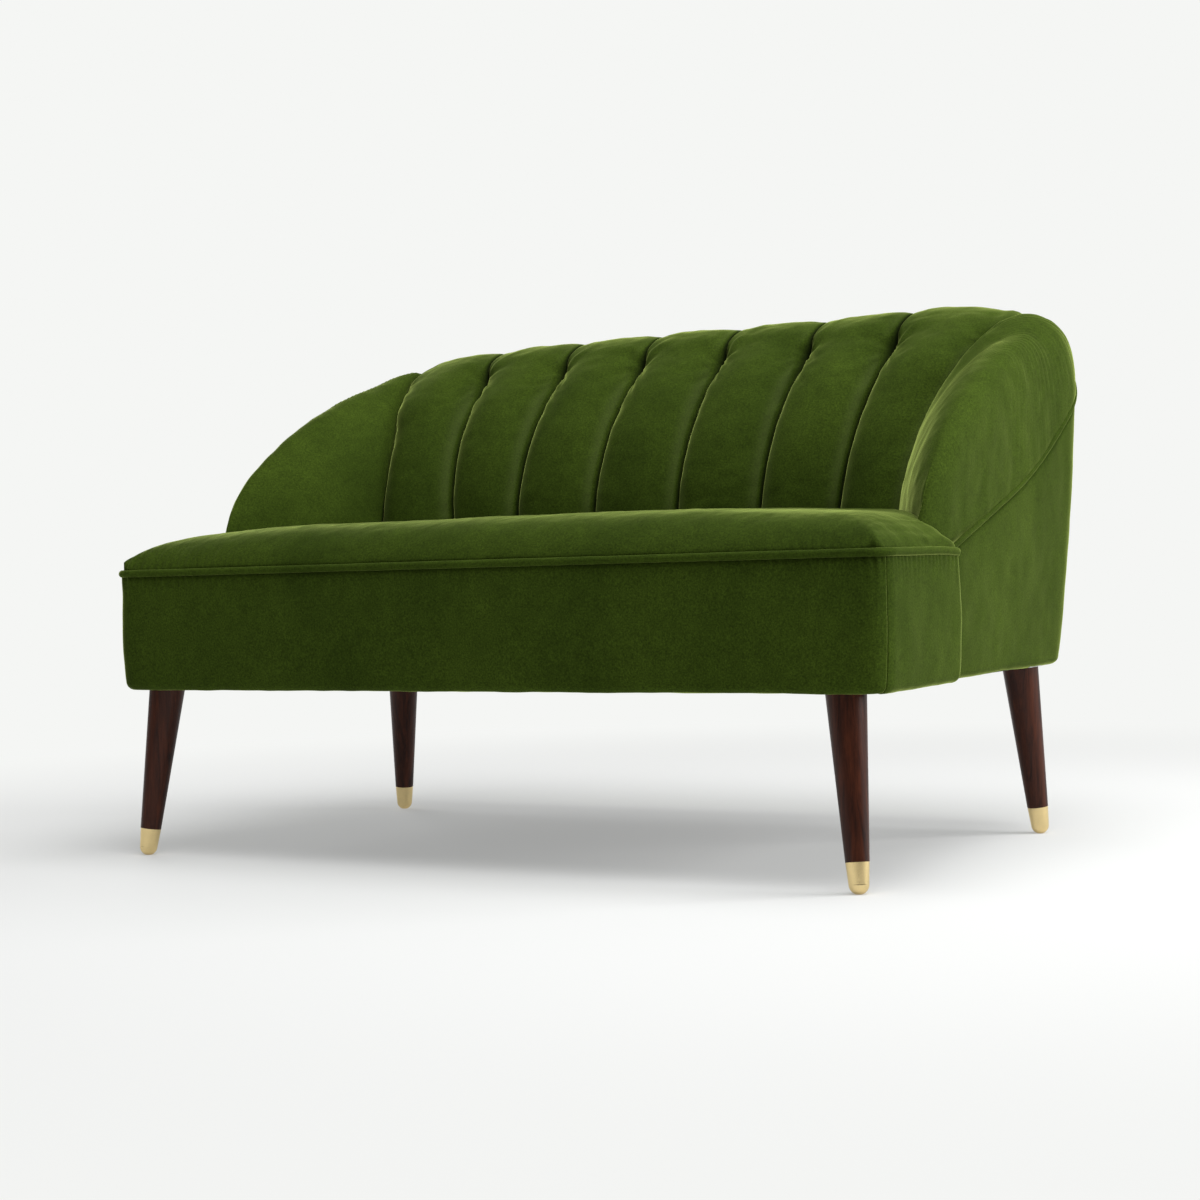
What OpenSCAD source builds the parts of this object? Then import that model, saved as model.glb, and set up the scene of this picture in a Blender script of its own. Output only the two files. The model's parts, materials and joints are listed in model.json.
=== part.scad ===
// Two-seat upholstered sofa: sprung timber frame on four splayed legs, a piped
// T-shaped seat, and a channelled back that rolls over into two curved wings.
// Millimetres, Z up. X = 0 is the plane of symmetry, and the floor is Z = 0.
// Inside the modules Y runs back from the frontmost point of the sofa, and
// in_place() moves it so that the origin is under the middle of the sofa.

/* [Overall] */
// Depth from the front piping to the outside back
depth = 838; // [698:2:1006]
// Height of the top of the back at the middle
height = 802; // [720:2:964]
// Width across the outside arms at the underside
body_w = 1194; // [1000:2:1440]
// How far each arm's outside leans out, per mm of height
arm_lean = 0.079; // [0:0.005:0.12]
// How far the outside back leans back, per mm of height
back_lean = 0.038; // [0:0.002:0.06]
// Radius of the rear corners in plan
corner_r = 120; // [90:2:150]

/* [Seat] */
// Underside of the upholstery above the floor
underside_h = 250; // [208:2:300]
// Centre of the seat piping above the floor
piping_h = 427; // [415:1:440]
// Top of the seat's crown above the floor
seat_h = 493; // [470:1:592]
// How far each side of the seat front stands out past the arm
seat_step = 31; // [20:1:36]
// How far each side of the seat front leans out, per mm of height
block_lean = 0.045; // [0:0.005:0.08]
// Depth of the full-width front of the seat
seat_front_d = 247; // [227:1:327]
// Radius of the seat's front corners in plan
seat_corner_r = 32; // [20:1:50]
// Radius of the piping cord
piping_r = 5.5; // [4:0.5:7]

/* [Back] */
// Height at which the inner back starts to rake
rake_h = 450; // [440:2:470]
// Thickness of the back at the seat, from its channels to the outside back
back_t = 348; // [320:2:370]
// Crest of the back, in from the outside back
crest_in = 96; // [84:2:120]
// How far a channel swells between its seams
channel_swell = 20; // [8:1:30]
// Thickness of the padding on the inner back
back_pad = 40; // [25:1:50]
// Thickness of the padding on the outer side of the crest
outer_pad = 8; // [6:1:12]

/* [Wings] */
// Thickness of an arm at its base, where the last seam of the back starts
arm_t = 130; // [120:1:150]
// How far a wing's crest stands out past the arm's outside at the underside
wing_crest_out = 6; // [0:1:10]
// How far a wing's nose laps the side of the seat front
nose_lap = 36; // [30:1:40]
// Height of a wing's lower edge at its nose
wing_nose_h = 445; // [440:1:470]

/* [Frame] */
// Thickness of the seat rails
rail_t = 18; // [16:1:20]
// Top of the seat rails above the floor
rail_top = 398; // [380:1:405]
// Thickness of the arm and back formers
former_t = 18; // [12:1:20]
// Size of a corner block's two short sides
block_s = 78; // [70:1:110]
// Height of a corner block
block_h = 50; // [35:1:70]
// Side of the square top rail
top_rail_s = 40; // [30:1:45]

/* [Springs] */
// Number of zigzag springs
spring_count = 8; // [5:1:10]
// Radius of the spring wire
wire_r = 1.9; // [1.5:0.1:2.2]
// Width of a spring's zigzag
spring_w = 52; // [36:2:56]
// Number of half waves in a spring
half_waves = 20; // [12:2:24]

/* [Legs] */
// Foot of a front leg, in from the arm's outside at the underside
front_foot_in = 7; // [1:1:17]
// Foot of a rear leg, in from the arm's outside at the underside
rear_foot_in = 10; // [4:1:20]
// Foot of a front leg, behind the front of the sofa
front_foot_y = 12; // [4:1:30]
// Foot of a rear leg, in front of the outside back
rear_foot_y_in = 169; // [160:1:180]
// Diameter of a leg at its top
leg_top_d = 52.7; // [46:0.1:58]
// Diameter of a leg at the top of its cap
leg_cap_d = 30.8; // [26:0.1:36]
// Height of a brass cap
cap_h = 40; // [30:1:60]
// Wall of a brass cap
cap_wall = 1.2; // [0.8:0.1:2]
// Radius of the bolt that holds a leg
bolt_r = 4; // [3:0.5:5]

/* [Hidden] */

// ---- Colours
VELVET = [0.20, 0.36, 0.10];
VELVET_DARK = [0.15, 0.28, 0.07];
WALNUT = [0.22, 0.09, 0.05];
BRASS = [0.83, 0.67, 0.38];
TIMBER = [0.78, 0.62, 0.42];
PLY = [0.82, 0.69, 0.50];
STEEL = [0.62, 0.63, 0.65];
FOAM = [0.93, 0.88, 0.70];
FELT = [0.45, 0.44, 0.42];
WEB = [0.55, 0.50, 0.40];
DUST = [0.10, 0.10, 0.10];

// ---- Clearances and small fixed sizes
gap = 0.3;              // between soft pieces that lie side by side
skin = 3.5;             // thickness of an outside panel
leg_lean_front = [0.097, 0.112];   // how far a front leg runs in and back, per mm of height
leg_lean_rear = [0.077, -0.073];   // how far a rear leg runs in and forward
plate_s = 48;           // side of a leg plate
plate_t = 3;            // thickness of a leg plate
rail_bottom = underside_h + plate_t;
half_w = body_w / 2;
inner_half = half_w - arm_t;              // half width of the inner back at its base
crest_half = half_w - 57;                 // and at its crest
back_front = depth - back_t;              // front of the channels at the seat
crest_y = depth - crest_in;               // crest of the back
wing_nose_y = seat_front_d - nose_lap;    // front of a wing's nose
wing_crest_x = half_w + wing_crest_out;   // crest of a wing
front_foot_x = half_w - front_foot_in;
rear_foot_x = half_w - rear_foot_in;
rear_foot_y = depth - rear_foot_y_in;
welt_back_drop = 90;                      // how far the welt across the back lies below the top
welt_back_h = height - welt_back_drop;    // height of that welt
back_drop_y = 2;                          // how far the outside back lies inside the overall depth

function lerp(a, b, k) = a + (b - a) * k;
function clamp01(k) = min(1, max(0, k));
function unit(v) = v / norm(v);
function soft_min(a, b, k) = min(a, b) - pow(max(k - abs(a - b), 0), 2) / (4 * k);
function bezier(p, t) = pow(1 - t, 3) * p[0] + 3 * t * pow(1 - t, 2) * p[1]
    + 3 * t * t * (1 - t) * p[2] + pow(t, 3) * p[3];

module in_place() translate([0, -depth / 2, 0]) children();
module both_sides() { children(); mirror([1, 0, 0]) children(); }

// A strip of faces between rings of equal length. Each ring runs along one side of
// a wall and comes back along the other, so its two ends close as strips too.
module wall_loft(rings) {
    m = len(rings[0]);
    h = m / 2;
    last = (len(rings) - 1) * m;
    sides = [for (r = [0 : len(rings) - 2], i = [0 : m - 1])
        let (a = r * m + i, b = r * m + (i + 1) % m)
        each [[a, b, b + m], [a, b + m, a + m]]];
    first_cap = [for (i = [0 : h - 2]) each [[i, m - 2 - i, i + 1], [i, m - 1 - i, m - 2 - i]]];
    last_cap = [for (f = first_cap) [last + f[0], last + f[2], last + f[1]]];
    polyhedron(points = [for (r = rings) each r], faces = concat(sides, first_cap, last_cap), convexity = 8);
}

// A round rod along a list of points. up holds a direction across the rod at each point.
module rod(points, up, r, sides) {
    n = len(points);
    rings = [for (i = [0 : n - 1])
        let (t = unit(points[min(i + 1, n - 1)] - points[max(i - 1, 0)]),
             s = unit(cross(t, up[i])), u = cross(s, t))
        [for (k = [0 : sides - 1]) points[i] + r * (cos(360 * k / sides) * s + sin(360 * k / sides) * u)]];
    faces = [for (q = [0 : n - 2], k = [0 : sides - 1])
        let (a = q * sides + k, b = q * sides + (k + 1) % sides)
        each [[a, b, b + sides], [a, b + sides, a + sides]]];
    polyhedron(points = [for (g = rings) each g],
        faces = concat(faces, [[for (k = [0 : sides - 1]) sides - 1 - k]],
            [[for (k = [0 : sides - 1]) (n - 1) * sides + k]]), convexity = 8);
}

// ---- Outer shell in plan
function outer_x(z) = half_w + arm_lean * (z - underside_h);
function outer_y(z) = depth - back_drop_y - back_lean * (welt_back_h - z);
corner_len = corner_r * PI / 2;

// Plan point of the outside at height z, at a run s forward (+) or round the corner (-)
// from where the rear corner starts. w is how far inside the surface it lies.
function corner_angle(s) = clamp01(-s / corner_len) * 90;
function outer_point(s, z, w = 0) =
    let (a = corner_angle(s), cx = outer_x(z) - corner_r, cy = outer_y(z) - corner_r,
         past = max(0, -s - corner_len))
    [cx + (corner_r - w) * cos(a) - past, cy + (corner_r - w) * sin(a) - max(0, s), z];
function outer_normal(s) = [cos(corner_angle(s)), sin(corner_angle(s)), 0];

// ---- Line of the welt between the outside panels and the padding
return_r = 24;          // radius at which the seat's side turns in to the arm
arm_front_y = seat_front_d + return_r + 11;   // front edge of the outside arm
arm_run = depth - corner_r - arm_front_y;     // straight length of the outside arm
welt_start_h = piping_h - 5;                  // height of the welt at the front of the arm
welt_rise = welt_back_h - welt_start_h;
welt_slope = 0.775;     // first slope of the welt, as a share of rise over run
welt_bend = 1.21;       // how fast it then climbs, past welt_knee
welt_knee = 0.36;       // share of the run after which it climbs faster
welt_round = 0.172;     // how softly it levels out, as a share of the rise
function welt_h(f) =
    let (u = f / (arm_run + corner_len))
    welt_start_h + welt_rise
    * soft_min(welt_slope * u + welt_bend * pow(max(0, u - welt_knee), 2), 1, welt_round);
function welt_h_at(s) = welt_h(max(0, arm_run - s));

// ---- Padding section: base, crest and outer edge of one station
pad_bottom = 410;
crest_power = [1.3, 0.85];
function section_points(st) =
    let (b = st[0], c = st[1], w = st[2], z0 = st[3])
    concat(
        [[b.x, b.y, z0]],
        [for (k = [0 : 9])
            let (g = sin(9 * k + 6), h = 1 - pow(1 - pow(g, crest_power[0]), crest_power[1]),
                 base_z = max(rake_h, z0 + 6))
            [lerp(b.x, c.x, h), lerp(b.y, c.y, h), lerp(min(base_z, c.z - 10), c.z, g)]],
        [for (k = [1 : 7])
            let (a = 90 * k / 7)
            [lerp(c.x, w.x, sin(a)), lerp(c.y, w.y, sin(a)), lerp(w.z, c.z, cos(a))]]);
function section_ring(st) =
    let (b = st[0], w = st[2], z0 = st[3], ti = st[4], to = st[5], tc = st[6], c = st[1],
         across = unit([w.x - b.x, w.y - b.y]), wide = norm([w.x - b.x, w.y - b.y]),
         outer = section_points(st), n = len(outer))
    concat(outer, [for (i = [n - 1 : -1 : 0])
        let (p = outer[i], k = ([p.x, p.y] - [b.x, b.y]) * across / wide, move = ti * (1 - k) - to * k,
             cut = (c.z - tc - z0) / (c.z - z0))
        [p.x + across.x * move, p.y + across.y * move, i == n - 1 ? p.z : z0 + (p.z - z0) * cut]]);

// ---- Channels of the back. Seams at the base, at the crest and at the welt
seam_base_share = [0.16, 0.467, 0.743, 1];       // of the inner half width at the base
seam_crest_share = [0.139, 0.422, 0.7, 1];       // of the half width at the crest
seam_base_x = [for (k = seam_base_share) k * inner_half];
seam_crest_x = [for (k = seam_crest_share) k * crest_half];
seam_base_back = [0, 0, 4, -32];     // how far behind back_front each seam starts
seam_crest_back = [0, 0, -8, -40];   // how far behind crest_y each seam crests
seam_crest_drop = [0, 1, 3, 18];     // how far each crest lies below the middle
function seam_at(list, i) = i < 0 ? -list[-i - 1] : list[i - 1];
function even_at(list, i) = list[abs(i) - 1];
function k_out(x) = abs(x) / crest_half;
function channel_station(a, b, k) =
    let (swell = channel_swell * (1 - pow(2 * k - 1, 2)),
         xb = lerp(seam_at(seam_base_x, a), seam_at(seam_base_x, b), k),
         xc = lerp(seam_at(seam_crest_x, a), seam_at(seam_crest_x, b), k),
         yb = back_front + 8 + lerp(even_at(seam_base_back, a), even_at(seam_base_back, b), k) - swell,
         yc = crest_y + lerp(even_at(seam_crest_back, a), even_at(seam_crest_back, b), k),
         zc = height - 6 - lerp(even_at(seam_crest_drop, a), even_at(seam_crest_drop, b), k) + 0.3 * swell,
         wz = welt_back_h + 7,
         edge_x = xc + sign(xc) * 9 * clamp01(20 * (k_out(xc) - 0.9)),
         side = asin(clamp01((abs(edge_x) - outer_x(wz) + corner_r) / corner_r)),
         edge = [edge_x, outer_y(wz) - corner_r * (1 - cos(side)), wz])
    [[xb, yb], [xc, yc, zc], edge, pad_bottom, back_pad, outer_pad, back_pad];
module channel(a, b) color(VELVET) in_place() {
    steps = 6;
    width = seam_at(seam_base_x, b) - seam_at(seam_base_x, a);
    wall_loft([for (i = [0 : steps])
        section_ring(channel_station(a, b, lerp(gap / width, 1 - gap / width, i / steps)))]);
}

// ---- Wings. Paths of the base, the crest and the outer edge, from the last seam to the nose
wing_rear_y = back_front - 24;
wing_crest_rear_y = crest_y - 40;
function wing_y(rear, k) = lerp(wing_nose_y, rear, k);
wing_base = [[inner_half + 1.5, wing_rear_y], [inner_half + 7, wing_y(wing_rear_y, 0.631)],
    [inner_half + 15, wing_y(wing_rear_y, 0.224)], [inner_half + 99, wing_nose_y]];
wing_crest = [[crest_half + 1.5, wing_crest_rear_y], [wing_crest_x + 4, wing_y(wing_crest_rear_y, 0.843)],
    [wing_crest_x - 6, wing_y(wing_crest_rear_y, 0.446)], [wing_crest_x, wing_nose_y + 2]];
wing_top_h = height - 27;             // height that a wing's crest rises to at the rear
wing_low_h = piping_h + 3;            // and would fall to in front of its nose
wing_crest_run = crest_y - wing_nose_y + 109;
wing_edge_run = depth - wing_nose_y - corner_r - 12;
function wing_crest_h(y) = wing_top_h - (wing_top_h - wing_low_h)
    * (1 - pow(1 - pow(clamp01((crest_y + 90 - y) / wing_crest_run), 1.5), 0.625));
function wing_station(t) =
    let (b = bezier(wing_base, t), c = bezier(wing_crest, t),
         start = -corner_len + 0.32 * corner_r,
         s = lerp(start, wing_edge_run, pow(t, 0.9)),
         wz = max(wing_nose_h, welt_h_at(s) + 7),
         w = outer_point(s, wz),
         free_top = lerp(height - 6 - seam_crest_drop[3], wing_crest_h(c.y), clamp01(t / 0.3)),
         top = max(free_top, wz + 25),
         wide = norm([w.x - b.x, w.y - b.y]),
         low = lerp(pad_bottom, piping_h + 7, clamp01((t - 0.6) / 0.2)),
         inner_t = wide * lerp(back_pad / 375, 0.34, clamp01(t / 0.5)))
    [b, [c.x, c.y, top], w, low, inner_t, outer_pad + 4 * clamp01(t / 0.1), min(back_pad, 0.5 * (top - low))];
wing_steps = [0, 0.06, 0.12, 0.2, 0.3, 0.42, 0.54, 0.66, 0.77, 0.86, 0.93, 0.98, 1];
module wing_pad() color(VELVET) in_place()
    wall_loft([for (t = wing_steps) section_ring(wing_station(t))]);

// ---- Outside panels
function panel_ring(s, top) = [outer_point(s, underside_h), outer_point(s, top),
    outer_point(s, top, skin), outer_point(s, underside_h, skin)];
back_seam_s = -corner_len - 8;
arm_panel_runs = concat([arm_run - 6], [for (k = [0.8, 0.6, 0.45, 0.3, 0.15]) k * arm_run],
    [for (k = [0 : 8]) -corner_len * k / 8], [back_seam_s]);
module outside_arm() color(VELVET) in_place()
    wall_loft([for (s = arm_panel_runs) panel_ring(s, welt_h_at(s) - 8)]);
module outside_back() color(VELVET) in_place() {
    top = welt_back_h - 8;
    wall_loft([for (u = [1, -1]) [for (e = [[underside_h, 0], [top, 0], [top, skin], [underside_h, skin]])
        [u * (outer_x(e[0]) - corner_r - 8 - gap), outer_y(e[0]) - e[1], e[0]]]]);
}
module shell_piping() color(VELVET) in_place() {
    r = 5;
    w = 3;                // how far the cord's centre lies inside the surface
    rise = [for (k = [0, 0.3, 0.63, 0.9, 1])
        [arm_run + lerp(1, 12, clamp01((k - 0.3) / 0.7)), lerp(underside_h + 2, welt_start_h - 8, k)]];
    along = [for (k = [1 : 12]) arm_run * (1 - k / 12)];
    round = [for (k = [1 : 9]) -corner_len * k / 9];
    half = concat([for (q = rise) [outer_point(q[0], q[1], w), outer_normal(q[0])]],
        [for (s = concat(along, round)) [outer_point(s, welt_h_at(s), w), outer_normal(s)]]);
    path = concat(half, [for (i = [len(half) - 1 : -1 : 0])
        [[-half[i][0].x, half[i][0].y, half[i][0].z], [-half[i][1].x, half[i][1].y, 0]]]);
    rod([for (q = path) q[0]], [for (q = path) q[1]], r, 8);
}

// ---- Seat
block_half = half_w + seat_step;             // half width of the seat front at the underside
function block_x(z) = block_half + (z - underside_h) * block_lean;
face_y = piping_r + 0.5;                     // front face of the border
border_t = 6;
// Plan point on the front block's face, w inside it. q is 0..1 along the front, 1..2
// round the front corner, 2..3 back along the side and 3..4 where it turns in.
function block_point(q, z, w = 0) =
    let (x = block_x(z), r = seat_corner_r, a = 90 * clamp01(q - 1), b = 90 * clamp01(q - 3),
         side_x = x - r + (r - w) * sin(a), side_y = lerp(face_y + r, seat_front_d, clamp01(q - 2)))
    q < 1 ? [q * (x - r), face_y + w, z]
    : q < 2 ? [side_x, face_y + r - (r - w) * cos(a), z]
    : q < 3 ? [x - w, side_y, z]
    : [x - return_r + (return_r - w) * cos(b), seat_front_d + (return_r - w) * sin(b), z];
function border_ring(q) = [block_point(q, underside_h), block_point(q, piping_h - piping_r - 1),
    block_point(q, piping_h - piping_r - 1, border_t), block_point(q, underside_h, border_t)];
module front_border() color(VELVET_DARK) in_place() {
    half = [for (q = [1, 1.17, 1.33, 1.5]) border_ring(q)];
    wall_loft(concat([for (i = [3 : -1 : 0]) [for (p = half[i]) [-p.x, p.y, p.z]]], half));
}
module side_border() color(VELVET_DARK) in_place()
    wall_loft([for (q = [1.51, 1.67, 1.83, 2, 2.5, 3, 3.33, 3.67, 4]) border_ring(q)]);
module seat_piping() color(VELVET) in_place() {
    half = concat([for (q = [0.4, 0.8, 1, 1.15, 1.3, 1.45, 1.6, 1.75, 1.9, 2, 2.5]) block_point(q, piping_h)],
        [for (q = [2.9, 3.3, 3.7]) block_point(q, piping_h - 0.4)]);
    path = concat([for (i = [len(half) - 1 : -1 : 0]) [-half[i].x, half[i].y, half[i].z]], half);
    rod(path, [for (p = path) [0, 0, 1]], piping_r, 10);
}

// Crown of the seat: height of the top at a point of the plan, w below the surface
tongue_half = inner_half - 7;                // half width of the seat between the wings
tongue_y = back_front - channel_swell - 6;   // rear of the seat
front_rear_y = wing_nose_y - 8;              // rear of the full-width part of the foam
crown_run = 150;
side_run = 180;
function crown(x, y) =
    let (edge = block_x(piping_h) - 3,
         f = clamp01((y - face_y) / crown_run), g = clamp01((edge - abs(x)) / side_run))
    piping_h + 2 + (seat_h - piping_h - 2) * pow(1 - pow(1 - f, 2.4), 0.55) * pow(1 - pow(1 - g, 2.6), 0.55);
function seat_rear(x) = lerp(tongue_y, front_rear_y, clamp01((abs(x) - tongue_half) / 3));
shoulder = tongue_half + 3;                  // where the seat narrows to pass between the wings
seat_edge = block_x(piping_h) - 6;
seat_half_x = concat([for (k = [1 : 3]) k * tongue_half / 3],
    [for (k = [0, 0.17, 0.4, 0.63, 0.8, 0.92, 1]) lerp(shoulder, seat_edge, k)]);
seat_x = concat([for (i = [len(seat_half_x) - 1 : -1 : 0]) -seat_half_x[i]], [0], seat_half_x);
depth_steps = [0, 0.02, 0.05, 0.1, 0.18, 0.3, 0.5, 0.75, 1];
function seat_front(x) =
    let (over = max(0, abs(x) - seat_edge + seat_corner_r))
    face_y + 3 + seat_corner_r - sqrt(pow(seat_corner_r, 2) - pow(over, 2));
function seat_row(x, w) =
    let (front = seat_front(x) + w, rear = seat_rear(x) - w)
    [for (k = depth_steps) let (y = lerp(front, rear, k)) [x, y, crown(x, y) - w]];
insulator_z = rail_top + 2 * wire_r + 1.5;
foam_bottom = insulator_z + 3 + gap;
module seat_foam() color(FOAM) in_place()
    wall_loft([for (x = seat_x) let (row = seat_row(x * 0.985, 5.5))
        concat(row, [for (i = [len(row) - 1 : -1 : 0]) [row[i].x, row[i].y, foam_bottom]])]);
module seat_cover() color(VELVET) in_place()
    wall_loft([for (x = seat_x) let (row = seat_row(x, 0), under = seat_row(x, 3))
        concat(row, [for (i = [len(row) - 1 : -1 : 0]) [row[i].x, under[i].y, under[i].z]])]);
module seat_insulator() color(FELT) in_place() translate([0, 0, insulator_z]) {
    linear_extrude(3) union() {
        translate([-half_w + 30, 30]) square([2 * half_w - 60, front_rear_y - 40]);
        translate([-tongue_half + 5, 30]) square([2 * tongue_half - 10, tongue_y - 44]);
    }
}

// ---- Seat frame
front_rail_y = 16;
front_rail_t = rail_t + 2;
side_outer = half_w - 7;
side_inner = side_outer - rail_t;
rear_outer = outer_y(underside_h) - skin - 2;
side_end = outer_y(underside_h) - corner_r + 12;
rear_half = half_w - corner_r + 12;
spring_rail_y = back_front + 60;
rail_h = rail_top - rail_bottom;
module board(x0, x1, y0, y1, z0, z1) translate([x0, y0, z0]) cube([x1 - x0, y1 - y0, z1 - z0]);
module screw_bores() both_sides() for (rear = [false, true]) screw_places(rear)
    translate([0, 0, -1]) cylinder(r = screw_r, h = screw_len + 1, $fn = 32);
module front_rail() color(TIMBER) in_place() difference() {
    board(-side_outer, side_outer, front_rail_y, front_rail_y + front_rail_t, rail_bottom, rail_top);
    screw_bores();
}
module side_rail() color(TIMBER) in_place() difference() {
    board(side_inner, side_outer, front_rail_y + front_rail_t, side_end, rail_bottom, rail_top);
    screw_bores();
}
module rear_rail() color(TIMBER) in_place()
    board(-rear_half, rear_half, rear_outer - rail_t, rear_outer, rail_bottom, rail_top);
module spring_rail() color(TIMBER) in_place()
    board(-side_inner, side_inner, spring_rail_y, spring_rail_y + front_rail_t, rail_bottom + 40, rail_top);
module centre_rail() color(TIMBER) in_place()
    board(-rail_t, rail_t, front_rail_y + front_rail_t, spring_rail_y, rail_bottom, rail_bottom + 45);
module corner_rail() color(TIMBER) in_place() translate([0, 0, rail_bottom]) linear_extrude(rail_h)
    polygon([[side_outer, side_end], [side_inner, side_end],
        [rear_half, rear_outer - rail_t], [rear_half, rear_outer]]);
rear_block_w = 70;       // width of the block over a rear leg
rear_block_y0 = rear_foot_y - 68;
rear_block_y1 = side_end - 9;
module leg_axis(rear) {
    lean = rear ? leg_lean_rear : leg_lean_front;
    translate(leg_at(rear, 0)) rotate([0, 0, atan2(lean[1], -lean[0])])
        rotate([0, atan(norm(lean)), 0]) children();
}
function leg_at(rear, z) = rear ? [rear_foot_x - leg_lean_rear[0] * z, rear_foot_y + leg_lean_rear[1] * z, z]
    : [front_foot_x - leg_lean_front[0] * z, front_foot_y + leg_lean_front[1] * z, z];
module bolt_holes(r) both_sides() for (rear = [false, true])
    leg_axis(rear) cylinder(r = r, h = underside_h + 80, $fn = 48);
module leg_blocks() color(TIMBER) in_place() difference() {
    both_sides() {
        translate([side_inner, front_rail_y + front_rail_t, rail_bottom])
            linear_extrude(block_h) polygon([[0, 0], [-block_s, 0], [0, block_s]]);
        board(side_inner - rear_block_w, side_inner, rear_block_y0, rear_block_y1,
            rail_bottom, rail_bottom + block_h);
    }
    bolt_holes(bolt_r);
    screw_bores();
}
module rear_post() color(TIMBER) in_place() {
    cx = half_w - corner_r + 38;
    cy = outer_y(underside_h) - corner_r + 38;
    translate([cx, cy, rail_bottom]) rotate([0, 0, 45]) translate([-18, -18, 0])
        cube([30, 36, height - 119 - rail_bottom]);
}

// ---- Arms and back frame
arm_y0 = arm_front_y + 15;
arm_y1 = side_end - 6;
function arm_top(y) = wing_crest_h(y - 14) - 88;
module arm_panel() color(PLY) in_place()
    translate([side_outer - former_t, 0, rail_top]) rotate([90, 0, 90]) linear_extrude(former_t)
        polygon(concat([[arm_y1, 0], [arm_y0, 0]],
            [for (k = [0 : 10]) let (y = lerp(arm_y0, arm_y1, k / 10)) [y, arm_top(y) - rail_top]]));
rib_back = rear_outer - 4;
rib_front = spring_rail_y + front_rail_t + 4;
top_rail_y = crest_y + 6;
function inner_y(z) = let (g = clamp01((z + back_pad - rake_h) / (height - rake_h)))
    lerp(back_front, crest_y, 1 - pow(1 - pow(g, crest_power[0]), crest_power[1])) + back_pad + 10;
top_rail_z = height - back_pad - 26 - top_rail_s;
module back_rib(x) color(PLY) in_place() translate([x, 0, 0]) rotate([90, 0, 90])
    translate([0, 0, -former_t / 2]) linear_extrude(former_t)
        polygon(concat([[rib_back, rail_top], [rib_front, rail_top]],
            [for (k = [0 : 6]) let (z = lerp(rail_top + 60, top_rail_z - 10, k / 6))
                [max(rib_front, inner_y(z)), z]],
            [[top_rail_y - top_rail_s / 2, top_rail_z], [rib_back + 8, top_rail_z]]));
rib_share = [-0.92, -0.32, 0.32, 0.92];   // places of the ribs, of the inner half width
rib_x = [for (k = rib_share) k * inner_half];
top_rail_round = 8;     // rounding of the top rail's two upper edges
module top_rail() color(TIMBER) in_place()
    translate([0, top_rail_y, top_rail_z + top_rail_s / 2]) rotate([0, 90, 0])
    linear_extrude(2 * (crest_half - 50), center = true)
    translate([-top_rail_s / 2, -top_rail_s / 2]) {
        translate([top_rail_round, 0]) square([top_rail_s - top_rail_round, top_rail_s]);
        translate([0, top_rail_round]) square([top_rail_s, top_rail_s - 2 * top_rail_round]);
        for (y = [top_rail_round, top_rail_s - top_rail_round])
            translate([top_rail_round, y]) circle(r = top_rail_round, $fn = 48);
    }
lumbar_h = rail_top + 14;
module lumbar_rail() color(TIMBER) in_place()
    board(-rib_x[3] - 15, rib_x[3] + 15, spring_rail_y, spring_rail_y + front_rail_t,
        lumbar_h, lumbar_h + 50);
module back_webbing() color(WEB) in_place() {
    y0 = spring_rail_y + 6;
    z0 = lumbar_h + 52;
    y1 = top_rail_y - top_rail_s / 2 - 1;
    z1 = top_rail_z + 16;
    tilt = atan2(y1 - y0, z1 - z0);
    web_w = 50;
    for (k = [-0.75, -0.535, -0.16, 0.16, 0.535, 0.75])
        translate([k * inner_half - web_w / 2, y0, z0]) rotate([-tilt, 0, 0]) translate([0, -1.6, 0])
            cube([web_w, 1.6, norm([y1 - y0, z1 - z0])]);
}
module tack_strip() color(WEB) in_place()
    board(-rear_half, rear_half, outer_y(welt_back_h) - skin - 2.8, outer_y(welt_back_h) - skin - 1.3,
        welt_back_h - 24, welt_back_h - 9);

// ---- Springs
spring_front = front_rail_y + front_rail_t / 2;
spring_rear = spring_rail_y + front_rail_t / 2;
spring_z = rail_top + wire_r + 0.6;
spring_pitch = 2 * (tongue_half - 40) / (spring_count - 1);
function spring_x(i) = -tongue_half + 40 + i * spring_pitch;
module spring(x) {
    run = (spring_rear - spring_front) / half_waves;
    h = spring_w / 2;
    c = 0.22 * run;
    mid = [for (i = [0 : half_waves - 1]) let (y = spring_front + i * run, s = i % 2 == 0 ? 1 : -1)
        each [for (e = [[c, -1.5], [0, -0.4], [0, 0.4], [c, 1.5]])
            [x + s * (h - e[0]), y + 0.5 * run + e[1] * c, spring_z]]];
    path = concat([[x - h * 0.6, spring_front, spring_z]], mid, [[x + h * 0.6, spring_rear, spring_z]]);
    rod(path, [for (p = path) [0, 0, 1]], wire_r, 6);
}
module seat_springs() color(STEEL) in_place() for (i = [0 : spring_count - 1]) spring(spring_x(i));
module spring_clips() color(STEEL) in_place()
    for (i = [0 : spring_count - 1], y = [spring_front, spring_rear])
    translate([spring_x(i) - 8, y - 9, rail_top]) difference() {
        cube([16, 18, 2 * wire_r + 1.4]);
        translate([-1, 3, 0.5]) cube([18, 12, 2 * wire_r + 0.2]);
    }
module tie_wires() color(STEEL) in_place() for (k = [1, 2])
    translate([0, lerp(spring_front, spring_rear, k / 3), rail_top - 1.2]) rotate([0, 90, 0])
        cylinder(r = 1.2, h = 2 * tongue_half, center = true, $fn = 24);

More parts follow.
